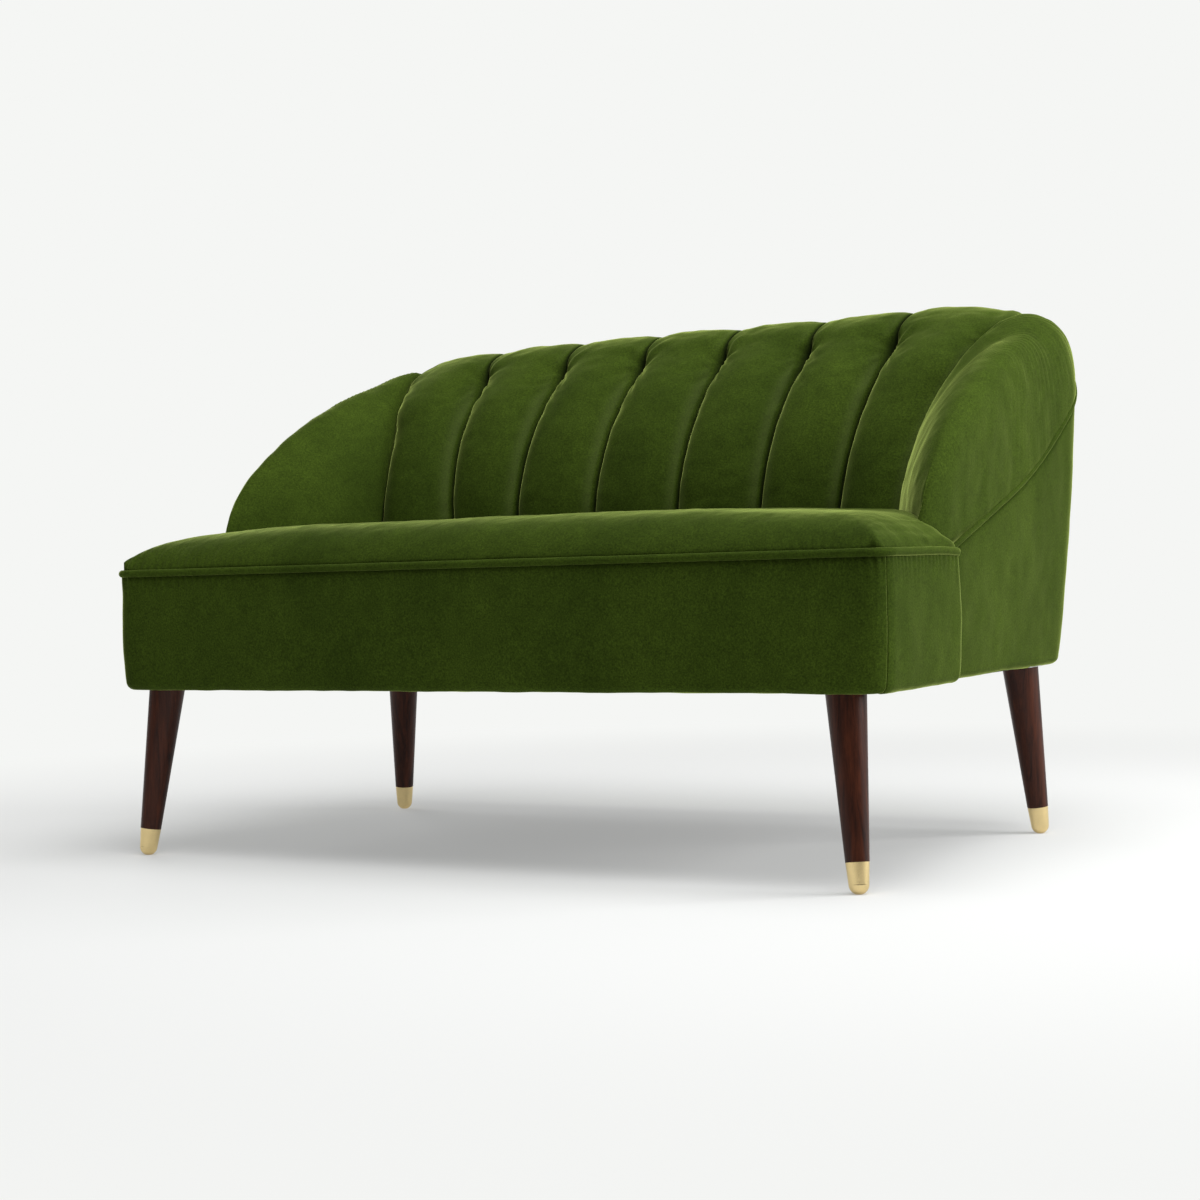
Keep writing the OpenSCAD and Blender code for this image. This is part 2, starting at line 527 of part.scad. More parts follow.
// ---- Legs
leg_len = underside_h + 20;
tenon_z = 12;            // lowest point of the leg inside its cap
bolt_depth = 45;         // how far the bolt's hole runs down into the leg
dome_r = leg_cap_d / 2 - 2.2;
dome_sink = 0.8;         // how much of the dome is cut flat by the floor
function leg_r(u) = lerp(leg_cap_d / 2, leg_top_d / 2, (u - cap_h) / (underside_h - cap_h));
module floor_slab(z0, z1) translate([-1000, -1000, z0]) cube([2000, 2000, z1 - z0]);
module leg(rear) color(WALNUT) in_place() difference() {
    intersection() {
        leg_axis(rear) union() {
            translate([0, 0, cap_h])
                cylinder(r1 = leg_r(cap_h), r2 = leg_r(leg_len), h = leg_len - cap_h, $fn = 96);
            translate([0, 0, tenon_z])
                cylinder(r1 = dome_r - cap_wall - 1, r2 = leg_r(cap_h) - cap_wall - 0.1,
                    h = cap_h - tenon_z, $fn = 96);
        }
        translate(leg_at(rear, 0)) translate([-150, -150, 0]) cube([300, 300, underside_h]);
    }
    leg_axis(rear) translate([0, 0, underside_h - bolt_depth])
        cylinder(r = bolt_r, h = bolt_depth + 35, $fn = 48);
}
module leg_cap(rear) color(BRASS) in_place() difference() {
    leg_axis(rear) difference() {
        union() {
            translate([0, 0, dome_r - dome_sink]) sphere(r = dome_r, $fn = 96);
            translate([0, 0, dome_r - dome_sink])
                cylinder(r1 = dome_r, r2 = leg_cap_d / 2, h = cap_h - dome_r + dome_sink, $fn = 96);
        }
        translate([0, 0, tenon_z - 0.5])
            cylinder(r1 = dome_r - cap_wall - 0.9, r2 = leg_cap_d / 2 - cap_wall,
                h = cap_h - tenon_z + 0.51, $fn = 96);
    }
    translate(leg_at(rear, 0)) translate([-50, -50, -20]) cube([100, 100, 20]);
}
function plate_centre(rear) = leg_at(rear, underside_h);
screw_offset = plate_s / 2 - 8;
screw_r = 2;
screw_len = 18;
screw_head_r = 4;
module screw_places(rear) translate([plate_centre(rear).x, plate_centre(rear).y, underside_h])
    for (u = [-1, 1], v = [-1, 1]) translate([u * screw_offset, v * screw_offset, 0]) children();
module leg_plates() color(STEEL) in_place() difference() {
    both_sides() for (rear = [false, true])
        translate([plate_centre(rear).x - plate_s / 2, plate_centre(rear).y - plate_s / 2, underside_h])
            cube([plate_s, plate_s, plate_t]);
    bolt_holes(bolt_r + 0.5);
    both_sides() for (rear = [false, true]) screw_places(rear) {
        translate([0, 0, -1]) cylinder(r = screw_r, h = plate_t + 2, $fn = 32);
        translate([0, 0, -0.01])
            cylinder(r1 = screw_head_r + 0.01, r2 = screw_r, h = screw_r + 0.01, $fn = 32);
    }
}
module plate_screws() color(STEEL) in_place() both_sides() for (rear = [false, true]) screw_places(rear) {
    cylinder(r1 = screw_head_r, r2 = screw_r, h = screw_r, $fn = 32);
    cylinder(r = screw_r, h = screw_len, $fn = 32);
}
module hanger_bolts() color(STEEL) in_place() intersection() {
    both_sides() for (rear = [false, true]) leg_axis(rear)
        translate([0, 0, underside_h - bolt_depth])
            cylinder(r = bolt_r, h = bolt_depth + plate_t + block_h - 6, $fn = 48);
    floor_slab(0, rail_bottom + block_h - 2);
}
module dust_cover() color(DUST) in_place()
    translate([0, 0, underside_h + 0.8]) linear_extrude(1) difference() {
    polygon([[-side_outer, front_rail_y + 4], [side_outer, front_rail_y + 4], [side_outer, side_end],
        [rear_half, rear_outer], [-rear_half, rear_outer], [-side_outer, side_end]]);
    for (s = [-1, 1], rear = [false, true])
        translate([s * plate_centre(rear).x - plate_s / 2 - 2, plate_centre(rear).y - plate_s / 2 - 2])
            square(plate_s + 4);
}

module left() mirror([1, 0, 0]) children();

front_rail();
rear_rail();
spring_rail();
left() side_rail();  // side_rail_left
side_rail();  // side_rail_right
left() corner_rail();  // corner_rail_left
corner_rail();  // corner_rail_right
centre_rail();
leg_blocks();
left() rear_post();  // rear_post_left
rear_post();  // rear_post_right
left() arm_panel();  // arm_panel_left
arm_panel();  // arm_panel_right
back_rib(rib_x[0]);  // back_rib_1
back_rib(rib_x[1]);  // back_rib_2
back_rib(rib_x[2]);  // back_rib_3
back_rib(rib_x[3]);  // back_rib_4
top_rail();
lumbar_rail();
leg_plates();
plate_screws();
hanger_bolts();
left() leg(false);  // leg_front_left
leg(false);  // leg_front_right
left() leg(true);  // leg_rear_left
leg(true);  // leg_rear_right
left() leg_cap(false);  // cap_front_left
leg_cap(false);  // cap_front_right
left() leg_cap(true);  // cap_rear_left
leg_cap(true);  // cap_rear_right
seat_springs();
spring_clips();
tie_wires();
back_webbing();
seat_insulator();
seat_foam();
seat_cover();
front_border();
left() side_border();  // side_border_left
side_border();  // side_border_right
seat_piping();
channel(-4, -3);  // back_channel_1
channel(-3, -2);  // back_channel_2
channel(-2, -1);  // back_channel_3
channel(-1, 1);  // back_channel_4
channel(1, 2);  // back_channel_5
channel(2, 3);  // back_channel_6
channel(3, 4);  // back_channel_7
left() wing_pad();  // wing_pad_left
wing_pad();  // wing_pad_right
shell_piping();
left() outside_arm();  // outside_arm_left
outside_arm();  // outside_arm_right
outside_back();
tack_strip();
dust_cover();
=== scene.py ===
"""Two-seat channel-back sofa: upholstery, finishes, floor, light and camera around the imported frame.

Lengths are metres. Shape functions measure y back from the front piping, and place() moves
their points into the frame, whose origin is on the floor under the middle of the sofa.
"""
import json
import math

import bpy
import numpy as np
from mathutils import Matrix, Vector, noise


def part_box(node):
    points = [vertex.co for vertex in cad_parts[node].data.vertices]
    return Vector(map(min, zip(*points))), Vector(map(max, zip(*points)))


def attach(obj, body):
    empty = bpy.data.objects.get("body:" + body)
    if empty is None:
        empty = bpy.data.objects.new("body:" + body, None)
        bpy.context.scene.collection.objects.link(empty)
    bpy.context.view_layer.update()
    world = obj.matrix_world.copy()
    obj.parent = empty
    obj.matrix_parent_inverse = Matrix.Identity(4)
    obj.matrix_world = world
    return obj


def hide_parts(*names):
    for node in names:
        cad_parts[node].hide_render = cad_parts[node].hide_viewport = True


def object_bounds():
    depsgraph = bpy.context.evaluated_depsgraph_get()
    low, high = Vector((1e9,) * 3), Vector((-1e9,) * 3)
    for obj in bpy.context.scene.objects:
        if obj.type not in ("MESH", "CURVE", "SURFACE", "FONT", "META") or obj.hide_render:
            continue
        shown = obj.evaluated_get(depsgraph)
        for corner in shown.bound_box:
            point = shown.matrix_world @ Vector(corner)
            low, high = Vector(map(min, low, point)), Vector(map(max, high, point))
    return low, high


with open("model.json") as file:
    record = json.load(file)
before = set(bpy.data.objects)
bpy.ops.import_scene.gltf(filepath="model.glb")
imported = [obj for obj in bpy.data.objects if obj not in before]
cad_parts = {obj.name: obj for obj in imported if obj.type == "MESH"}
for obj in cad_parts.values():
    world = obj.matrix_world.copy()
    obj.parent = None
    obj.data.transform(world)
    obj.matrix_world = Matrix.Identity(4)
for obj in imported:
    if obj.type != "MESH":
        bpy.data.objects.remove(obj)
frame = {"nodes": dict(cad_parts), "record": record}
CAD_BOX = [list(v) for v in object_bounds()]

# ---------------------------------------------------------------- sizes
FRONT_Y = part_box("seat_piping")[0][1]      # front of the sofa in the frame
DEPTH = CAD_BOX[1][1] - CAD_BOX[0][1]
SKIN_GAP = 0.001                           # the rear panel stands this far inside the full depth
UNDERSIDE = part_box("front_border")[0][2]
HALF_W = 0.597                             # outside arm at the underside
ARM_LEAN = 0.079
BACK_LEAN = 0.038
CORNER_R = 0.104                           # rear corners in plan, over their padding
CORNER_LEN = CORNER_R * math.pi / 2
PIPING_H = 0.427
PIPING_R = 0.0055
WELT_R = 0.005
WELT_BASE_H = 0.431                        # where the welt starts beside the seat
BACK_WELT_H = 0.712
SEAT_H = 0.493
BLOCK_HALF = 0.628                         # seat front at the underside
BLOCK_LEAN = 0.045
BLOCK_R = 0.032
RETURN_R = 0.024
SIDE_END_Y = 0.247
FACE_Y = 0.006
SEAM_Q = 1.7                               # where round the front corner the side band starts
HEM_R = 0.013                              # bottom edges roll under at this radius
HEM_W = 0.030                              # and run this far in under the frame
ARM_FRONT_Y = 0.282
WELT_Y = 0.307                             # the welt climbs from its first height behind here
ARM_RUN = DEPTH - SKIN_GAP - CORNER_R - ARM_FRONT_Y
BAND_SKIN = 0.004                          # thickness of the bands under the seat
PANEL_SKIN = 0.003                         # thickness of the outside panels
PANEL_LIP = 0.0015                         # and of their turned-in edges
PANEL_GAP = 0.006                          # the panels' top edges end this far under the welt
SEAM_GAP = 0.0083                          # the back panel starts this far in from the corners
BAND_TOP_GAP = 0.0045                      # the bands end this far under the middle of the piping
GATHER_PITCH = 0.0135                      # folds of the seat's cover above its piping
BAND_PITCH = 0.0125                        # folds of the bands below the piping
SURFACE_WAVE = 0.0012                      # how uneven a stretched panel is


# ---------------------------------------------------------------- small maths
def lerp(a, b, k):
    return a + (b - a) * k


def clamp01(k):
    return np.clip(k, 0.0, 1.0)


def smooth(k):
    k = clamp01(k)
    return k * k * (3 - 2 * k)


def bezier(p, t):
    t = np.asarray(t)[..., None]
    p = [np.array(q) for q in p]
    return (1 - t) ** 3 * p[0] + 3 * t * (1 - t) ** 2 * p[1] + 3 * t * t * (1 - t) * p[2] + t ** 3 * p[3]


def catmull(points, t):
    """Smooth curve through points, with t from 0 to 1 spread evenly over the spans."""
    p = np.array(points, float)
    x = clamp01(np.asarray(t)) * (len(p) - 1)
    i = np.minimum(x.astype(int), len(p) - 2)
    f = (x - i)[..., None]
    a, b, c, d = p[np.maximum(i - 1, 0)], p[i], p[i + 1], p[np.minimum(i + 2, len(p) - 1)]
    square = (2 * a - 5 * b + 4 * c - d) * f ** 2
    return 0.5 * (2 * b + (c - a) * f + square + (3 * b - 3 * c + d - a) * f ** 3)


def fbm(points, scale, seed=0.0, octaves=3):
    """Smooth noise at each point, about -1 to 1."""
    off = Vector((seed * 7.13, seed * 3.71, seed * 5.19))
    flat = points.reshape(-1, 3)
    out = np.array([noise.fractal(Vector(p) * scale + off, 0.6, 2.0, octaves) for p in flat.tolist()])
    return out.reshape(points.shape[:-1])


# ---------------------------------------------------------------- mesh helpers
def place(points):
    """From sofa coordinates (y back from the front) into the frame."""
    return np.asarray(points, float) + np.array([0.0, FRONT_Y, 0.0])


def normals_of(g):
    """Unit normals of a grid of points, from its neighbours."""
    du = np.gradient(g, axis=0)
    dv = np.gradient(g, axis=1)
    n = np.cross(du, dv)
    return n / np.maximum(np.linalg.norm(n, axis=-1, keepdims=True), 1e-9)


def mesh_object(name, verts, faces, material, replaces=(), painted_seam_shade_and_sheen=None):
    """A smooth piece on the one body. The optional per-vertex values are painted shade along seams (up to 1)
    and painted sheen beside them (below 0).
    """
    me = bpy.data.meshes.new(name)
    me.from_pydata([tuple(v) for v in verts], [], faces)
    if painted_seam_shade_and_sheen is not None:
        # Stores the painted seam shade and painted sheen for the velvet material.
        me.attributes.new("painted_seam_shade_and_sheen", "FLOAT", "POINT").data.foreach_set("value", painted_seam_shade_and_sheen)
    me.polygons.foreach_set("use_smooth", [True] * len(me.polygons))
    ob = bpy.data.objects.new(name, me)
    bpy.context.scene.collection.objects.link(ob)
    me.materials.append(material)
    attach(ob, "root")
    if replaces:
        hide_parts(*replaces)
    return ob


def solid_faces(nu, nv):
    """Faces of a closed wall between an outer and an inner grid of nu x nv points."""
    def o(i, j):
        return i * nv + j

    def n(i, j):
        return nu * nv + i * nv + j

    faces = []
    for i in range(nu - 1):
        for j in range(nv - 1):
            faces.append((o(i, j), o(i + 1, j), o(i + 1, j + 1), o(i, j + 1)))
            faces.append((n(i, j), n(i, j + 1), n(i + 1, j + 1), n(i + 1, j)))
    for i in range(nu - 1):
        faces.append((o(i, 0), n(i, 0), n(i + 1, 0), o(i + 1, 0)))
        faces.append((o(i, nv - 1), o(i + 1, nv - 1), n(i + 1, nv - 1), n(i, nv - 1)))
    for j in range(nv - 1):
        faces.append((o(0, j), o(0, j + 1), n(0, j + 1), n(0, j)))
        faces.append((o(nu - 1, j), n(nu - 1, j), n(nu - 1, j + 1), o(nu - 1, j + 1)))
    return faces


def solid(name, outer, inner, material, replaces=(), flip=False, painted_seam_shade_and_sheen=None):
    """A closed piece between two grids of points, the second of which is hidden and painted fully dark,
    without sheen, as shade.
    """
    nu, nv = outer.shape[:2]
    if painted_seam_shade_and_sheen is not None:
        # The hidden inner grid gets the full painted shade.
        painted_seam_shade_and_sheen = np.concatenate([painted_seam_shade_and_sheen.reshape(-1), np.ones(nu * nv)])
    verts = np.concatenate([place(outer).reshape(-1, 3), place(inner).reshape(-1, 3)])
    faces = solid_faces(nu, nv)
    if flip:
        faces = [f[::-1] for f in faces]
    return mesh_object(name, verts, faces, material, replaces, painted_seam_shade_and_sheen)


def tube(name, path, radius, material, replaces=(), sides=14, wobble=0.0):
    """A round cord along a path, with its own small unevenness."""
    p = np.array(path, float)
    t = np.gradient(p, axis=0)
    t /= np.linalg.norm(t, axis=1, keepdims=True)
    side = np.cross(t[0], [0.3, 0.5, 0.81])
    rings = []
    for i in range(len(p)):
        side = side - t[i] * (side @ t[i])
        side /= np.linalg.norm(side)
        up = np.cross(t[i], side)
        r = radius * (1 + wobble * noise.noise(Vector(p[i] * 60)))
        a = np.arange(sides) * 2 * math.pi / sides
        rings.append(p[i] + r * (np.cos(a)[:, None] * side + np.sin(a)[:, None] * up))
    verts = place(np.concatenate(rings))
    faces = []
    for i in range(len(p) - 1):
        for k in range(sides):
            a, b = i * sides + k, i * sides + (k + 1) % sides
            faces.append((a, b, b + sides, a + sides))
    faces.append(tuple(range(sides - 1, -1, -1)))
    faces.append(tuple((len(p) - 1) * sides + k for k in range(sides)))
    return mesh_object(name, verts, faces, material, replaces)


def mirror_x(g):
    return g * np.array([-1.0, 1.0, 1.0])


# ---------------------------------------------------------------- materials
def new_material(name):
    m = bpy.data.materials.new(name)
    m.use_nodes = True
    nt = m.node_tree
    return m, nt, nt.nodes["Principled BSDF"]


def node(nt, kind, **inputs):
    n = nt.nodes.new(kind)
    for key, value in inputs.items():
        n.inputs[key].default_value = value
    return n


def noise_node(nt, coords, scale, detail=3.0, rough=0.55, stretch=None, distortion=0.0):
    if stretch:
        mapping = nt.nodes.new("ShaderNodeMapping")
        mapping.inputs["Scale"].default_value = stretch
        nt.links.new(coords, mapping.inputs["Vector"])
        coords = mapping.outputs["Vector"]
    n = node(nt, "ShaderNodeTexNoise", Scale=scale, Detail=detail, Roughness=rough, Distortion=distortion)
    nt.links.new(coords, n.inputs["Vector"])
    return n.outputs["Fac"]


def ramp(nt, fac, stops):
    r = nt.nodes.new("ShaderNodeValToRGB")
    els = r.color_ramp.elements
    while len(els) < len(stops):
        els.new(0.5)
    for e, (pos, col) in zip(els, stops):
        e.position = pos
        e.color = (*col, 1)
    nt.links.new(fac, r.inputs["Fac"])
    return r.outputs["Color"]


def mix_colour(nt, fac, a, b, blend="MIX"):
    n = nt.nodes.new("ShaderNodeMix")
    n.data_type = "RGBA"
    n.blend_type = blend
    for socket, value in ((n.inputs["Factor"], fac), (n.inputs["A"], a), (n.inputs["B"], b)):
        if isinstance(value, (int, float)):
            socket.default_value = value
        elif isinstance(value, tuple):
            socket.default_value = (*value, 1)
        else:
            nt.links.new(value, socket)
    return n.outputs["Result"]


def bump(nt, height, strength, distance, normal=None):
    n = node(nt, "ShaderNodeBump", Strength=strength, Distance=distance)
    nt.links.new(height, n.inputs["Height"])
    if normal:
        nt.links.new(normal, n.inputs["Normal"])
    return n.outputs["Normal"]


def velvet(name):
    """Short pile: a soft body colour, finer speckle, faint brushed drifts and a bright sheen. Painted shade:
    it's dark and dull where its seam attribute is 1, along the seams; painted sheen: a little lighter where
    that is below 0."""
    m, nt, bsdf = new_material(name)
    pos = nt.nodes.new("ShaderNodeTexCoord").outputs["Object"]
    drift = noise_node(nt, pos, 7.0, 3.0, 0.5, (1.0, 1.0, 0.5), 0.4)
    cloud = noise_node(nt, pos, 45.0, 4.0, 0.62)
    pile = noise_node(nt, pos, 400.0, 2.0, 0.75)
    base = ramp(nt, drift, [(0.30, (0.027, 0.046, 0.0044)), (0.70, (0.039, 0.064, 0.0064))])
    tone = ramp(nt, cloud, [(0.30, (0.88, 0.88, 0.88)), (0.70, (1.10, 1.10, 1.10))])
    grain = ramp(nt, pile, [(0.28, (0.55, 0.55, 0.55)), (0.72, (1.42, 1.42, 1.42))])
    col = mix_colour(nt, 1.0, base, tone, "MULTIPLY")
    col = mix_colour(nt, 1.0, col, grain, "MULTIPLY")
    # Painted shade: the seam attribute mixes the colour towards near black along the seams and their tucks.
    painted_seam_attribute = nt.nodes.new("ShaderNodeAttribute")
    painted_seam_attribute.attribute_name = "painted_seam_shade_and_sheen"
    col = mix_colour(nt, painted_seam_attribute.outputs["Fac"], col, (0.0030, 0.0055, 0.0006))
    # Painted sheen: where the seam attribute is below 0, the colour is mixed towards a lighter green beside
    # the seams.
    painted_sheen_factor = nt.nodes.new("ShaderNodeMath")
    painted_sheen_factor.operation = "MULTIPLY"
    painted_sheen_factor.use_clamp = True
    painted_sheen_factor.inputs[1].default_value = -1.0
    nt.links.new(painted_seam_attribute.outputs["Fac"], painted_sheen_factor.inputs[0])
    col = mix_colour(nt, painted_sheen_factor.outputs["Value"], col, (0.100, 0.130, 0.040))
    nt.links.new(col, bsdf.inputs["Base Color"])
    bsdf.inputs["Roughness"].default_value = 0.9
    bsdf.inputs["Specular IOR Level"].default_value = 0.04
    # The real sheen is also taken away where the seams are painted dark.
    sheen_cut_at_painted_seams = node(nt, "ShaderNodeMapRange", **{"To Min": 0.85, "To Max": 0.0})
    nt.links.new(painted_seam_attribute.outputs["Fac"], sheen_cut_at_painted_seams.inputs["Value"])
    nt.links.new(sheen_cut_at_painted_seams.outputs["Result"], bsdf.inputs["Sheen Weight"])
    bsdf.inputs["Sheen Roughness"].default_value = 0.24
    bsdf.inputs["Sheen Tint"].default_value = (0.66, 0.80, 0.21, 1)
    soft = bump(nt, cloud, 0.15, 0.001)
    nt.links.new(bump(nt, pile, 0.45, 0.0004, soft), bsdf.inputs["Normal"])
    return m


def wood(name, dark, light, rough, coat, scale=1.0, stretch=(9.0, 9.0, 0.7)):
    m, nt, bsdf = new_material(name)
    pos = nt.nodes.new("ShaderNodeTexCoord").outputs["Object"]
    grain = noise_node(nt, pos, 14.0 * scale, 6.0, 0.62, stretch, 0.6)
    pores = noise_node(nt, pos, 90.0 * scale, 3.0, 0.6, stretch)
    base = ramp(nt, grain, [(0.30, dark), (0.72, light)])
    speck = ramp(nt, pores, [(0.35, (0.7, 0.7, 0.7)), (0.6, (1.0, 1.0, 1.0))])
    nt.links.new(mix_colour(nt, 0.8, base, speck, "MULTIPLY"), bsdf.inputs["Base Color"])
    bsdf.inputs["Roughness"].default_value = rough
    bsdf.inputs["Specular IOR Level"].default_value = 0.12
    bsdf.inputs["Coat Weight"].default_value = coat
    bsdf.inputs["Coat Roughness"].default_value = 0.12
    nt.links.new(bump(nt, pores, 0.08, 0.0004), bsdf.inputs["Normal"])
    return m


def metal(name, colour, rough, brush=(1.0, 1.0, 0.05)):
    m, nt, bsdf = new_material(name)
    pos = nt.nodes.new("ShaderNodeTexCoord").outputs["Object"]
    lines = noise_node(nt, pos, 700.0, 2.0, 0.6, brush)
    wear = noise_node(nt, pos, 60.0, 4.0, 0.6)
    base = ramp(nt, wear, [(0.3, tuple(0.88 * c for c in colour)), (0.7, colour)])
    nt.links.new(base, bsdf.inputs["Base Color"])
    bsdf.inputs["Metallic"].default_value = 1.0
    rng = node(nt, "ShaderNodeMapRange", **{"To Min": rough * 0.8, "To Max": rough * 1.3})
    nt.links.new(wear, rng.inputs["Value"])
    nt.links.new(rng.outputs["Result"], bsdf.inputs["Roughness"])
    nt.links.new(bump(nt, lines, 0.05, 0.0002), bsdf.inputs["Normal"])
    return m


def plain(name, colour, rough, scale, vary=0.15, height=0.0008):
    m, nt, bsdf = new_material(name)
    pos = nt.nodes.new("ShaderNodeTexCoord").outputs["Object"]
    n = noise_node(nt, pos, scale, 4.0, 0.65)
    low = tuple((1 - vary) * c for c in colour)
    high = tuple(min(1.0, (1 + vary) * c) for c in colour)
    nt.links.new(ramp(nt, n, [(0.3, low), (0.7, high)]), bsdf.inputs["Base Color"])
    bsdf.inputs["Roughness"].default_value = rough
    nt.links.new(bump(nt, n, 0.4, height), bsdf.inputs["Normal"])
    return m


VELVET = velvet("velvet")
WALNUT = wood("walnut", (0.0150, 0.0032, 0.0012), (0.082, 0.0190, 0.0065), 0.40, 0.16)
BRASS = metal("brass", (0.82, 0.64, 0.32), 0.18)
TIMBER = wood("timber", (0.50, 0.34, 0.18), (0.68, 0.50, 0.30), 0.7, 0.0, 0.6, (0.7, 6.0, 6.0))
PLYWOOD = wood("plywood", (0.56, 0.41, 0.24), (0.72, 0.56, 0.36), 0.65, 0.0, 0.6, (6.0, 0.8, 6.0))
STEEL = metal("zinc_steel", (0.62, 0.63, 0.65), 0.35)
FOAM = plain("foam", (0.82, 0.74, 0.50), 0.95, 500.0, 0.10, 0.0006)
FELT = plain("felt", (0.17, 0.16, 0.15), 0.95, 300.0, 0.30, 0.0008)
WEBBING = plain("webbing", (0.30, 0.23, 0.14), 0.9, 400.0, 0.25, 0.0006)
CARD = plain("card", (0.42, 0.34, 0.24), 0.9, 200.0, 0.10, 0.0002)
DUST_CLOTH = plain("dust_cloth", (0.012, 0.012, 0.013), 0.9, 600.0, 0.30, 0.0003)

SLOT_MATERIALS = {
    "velvet": VELVET, "walnut": WALNUT, "brass": BRASS, "timber": TIMBER, "plywood": PLYWOOD,
    "zinc_steel": STEEL, "foam": FOAM, "felt": FELT, "webbing": WEBBING, "card": CARD,
    "dust_cloth": DUST_CLOTH,
}
for part in frame["record"]["subparts"]:
    ob = frame["nodes"][part["node"]]
    ob.data.materials.clear()
    ob.data.materials.append(SLOT_MATERIALS[part["material_slot"]])


# ---------------------------------------------------------------- outer shell in plan
def outer_x(z):
    return HALF_W + ARM_LEAN * (z - UNDERSIDE)


def outer_y(z):
    return DEPTH - SKIN_GAP - BACK_LEAN * (BACK_WELT_H - z)


def outer_frame(s, z):
    """Plan point and outward direction of the shell at run s (forward +, round the corner -)."""
    s, z = np.broadcast_arrays(np.asarray(s, float), np.asarray(z, float))
    a = clamp01(-s / CORNER_LEN) * math.pi / 2
    cx, cy = outer_x(z) - CORNER_R, outer_y(z) - CORNER_R
    past = np.maximum(0, -s - CORNER_LEN)
    x = cx + CORNER_R * np.cos(a) - past
    y = cy + CORNER_R * np.sin(a) - np.maximum(0, s)
    return np.stack([x, y, z], -1), np.stack([np.cos(a), np.sin(a), np.zeros_like(a)], -1)


def soft_min(a, b, k):
    return np.minimum(a, b) - np.maximum(k - np.abs(a - b), 0) ** 2 / (4 * k)


def welt_h(s):
    """Height of the welt at run s of the shell."""
    f = np.maximum(ARM_FRONT_Y - WELT_Y, DEPTH - SKIN_GAP - CORNER_R - WELT_Y - np.asarray(s, float))
    rise = WELT_BASE_H + 0.36 * f + 0.9 * np.maximum(0, f - 0.2) ** 2
    return soft_min(rise, BACK_WELT_H, 0.05)


# ---------------------------------------------------------------- seat
NOSE_Y = 0.213
TAIL_Y = 0.266                             # the cover's edge runs on to here beside the wing
WING_BASE = [(0.4675, 0.466), (0.471, 0.372), (0.545, 0.275), (0.600, NOSE_Y)]
WING_CREST = [(0.5605, 0.737), (0.617, 0.650), (0.607, 0.440), (0.603, NOSE_Y + 0.002)]


def block_x(z):
    return BLOCK_HALF + (z - UNDERSIDE) * BLOCK_LEAN


def block_frame(q, z):
    """Point and outward direction on the seat front's face: q is 0..1 along the front,
    1..2 round the corner, 2..3 back along the side and 3..4 where it turns in to the arm."""
    q, z = np.broadcast_arrays(np.asarray(q, float), np.asarray(z, float))
    x = block_x(z)
    a = clamp01(q - 1) * math.pi / 2
    b = clamp01(q - 3) * math.pi / 2
    front = np.stack([clamp01(q) * (x - BLOCK_R) + BLOCK_R * np.sin(a),
                      FACE_Y + BLOCK_R * (1 - np.cos(a)), z], -1)
    side = np.stack([x - RETURN_R * (1 - np.cos(b)),
                     lerp(FACE_Y + BLOCK_R, SIDE_END_Y, clamp01(q - 2)) + RETURN_R * np.sin(b), z], -1)
    n = np.where((q < 2)[..., None], np.stack([np.sin(a), -np.cos(a), 0 * a], -1),
                 np.stack([np.cos(b), np.sin(b), 0 * b], -1))
    return np.where((q < 2)[..., None], front, side), n


def hem(point_of, q, top, thick, rows=26, swell=0.003, flare=0.0, spread=1.0, lip=PANEL_LIP):
    """Outer and inner grids of a band that hangs from top, rolls under at the underside and
    runs in a little way. point_of(q, z) gives its point and outward direction."""
    q = np.asarray(q, float)
    outer, inner = [], []
    low = UNDERSIDE + HEM_R
    for j in range(rows + 1):
        k = j / rows
        p, n = point_of(q, lerp(top, low, k ** spread))
        out = swell * math.sin(math.pi * k) ** 0.7 + flare * k
        outer.append(p + n * np.asarray(out)[..., None])
        inner.append(p - n * thick)
    p, n = point_of(q, np.full_like(q, low))
    for a in np.linspace(0, math.pi / 2, 8)[1:]:
        back = HEM_R * (1 - math.cos(a))
        outer.append(p + n * (flare - back) + np.array([0, 0, -HEM_R * math.sin(a)]))
        inner.append(p - n * max(thick, 0.9 * back + thick * math.cos(a))
                     + np.array([0, 0, -(HEM_R - lip) * math.sin(a)]))
    for w in np.linspace(0, HEM_W, 4)[1:]:
        edge = p - n * (HEM_R + w - flare)
        outer.append(edge + np.array([0, 0, -HEM_R]))
        inner.append(edge + np.array([0, 0, -HEM_R + lip]))
    return np.stack(outer, 1), np.stack(inner, 1)


def band(point_of, q):
    """One band under the seat: its outline flares a little, and its lip is 1.6 mm thick."""
    return hem(point_of, q, PIPING_H - BAND_TOP_GAP, BAND_SKIN, flare=0.005, spread=0.9, lip=0.4 * BAND_SKIN)


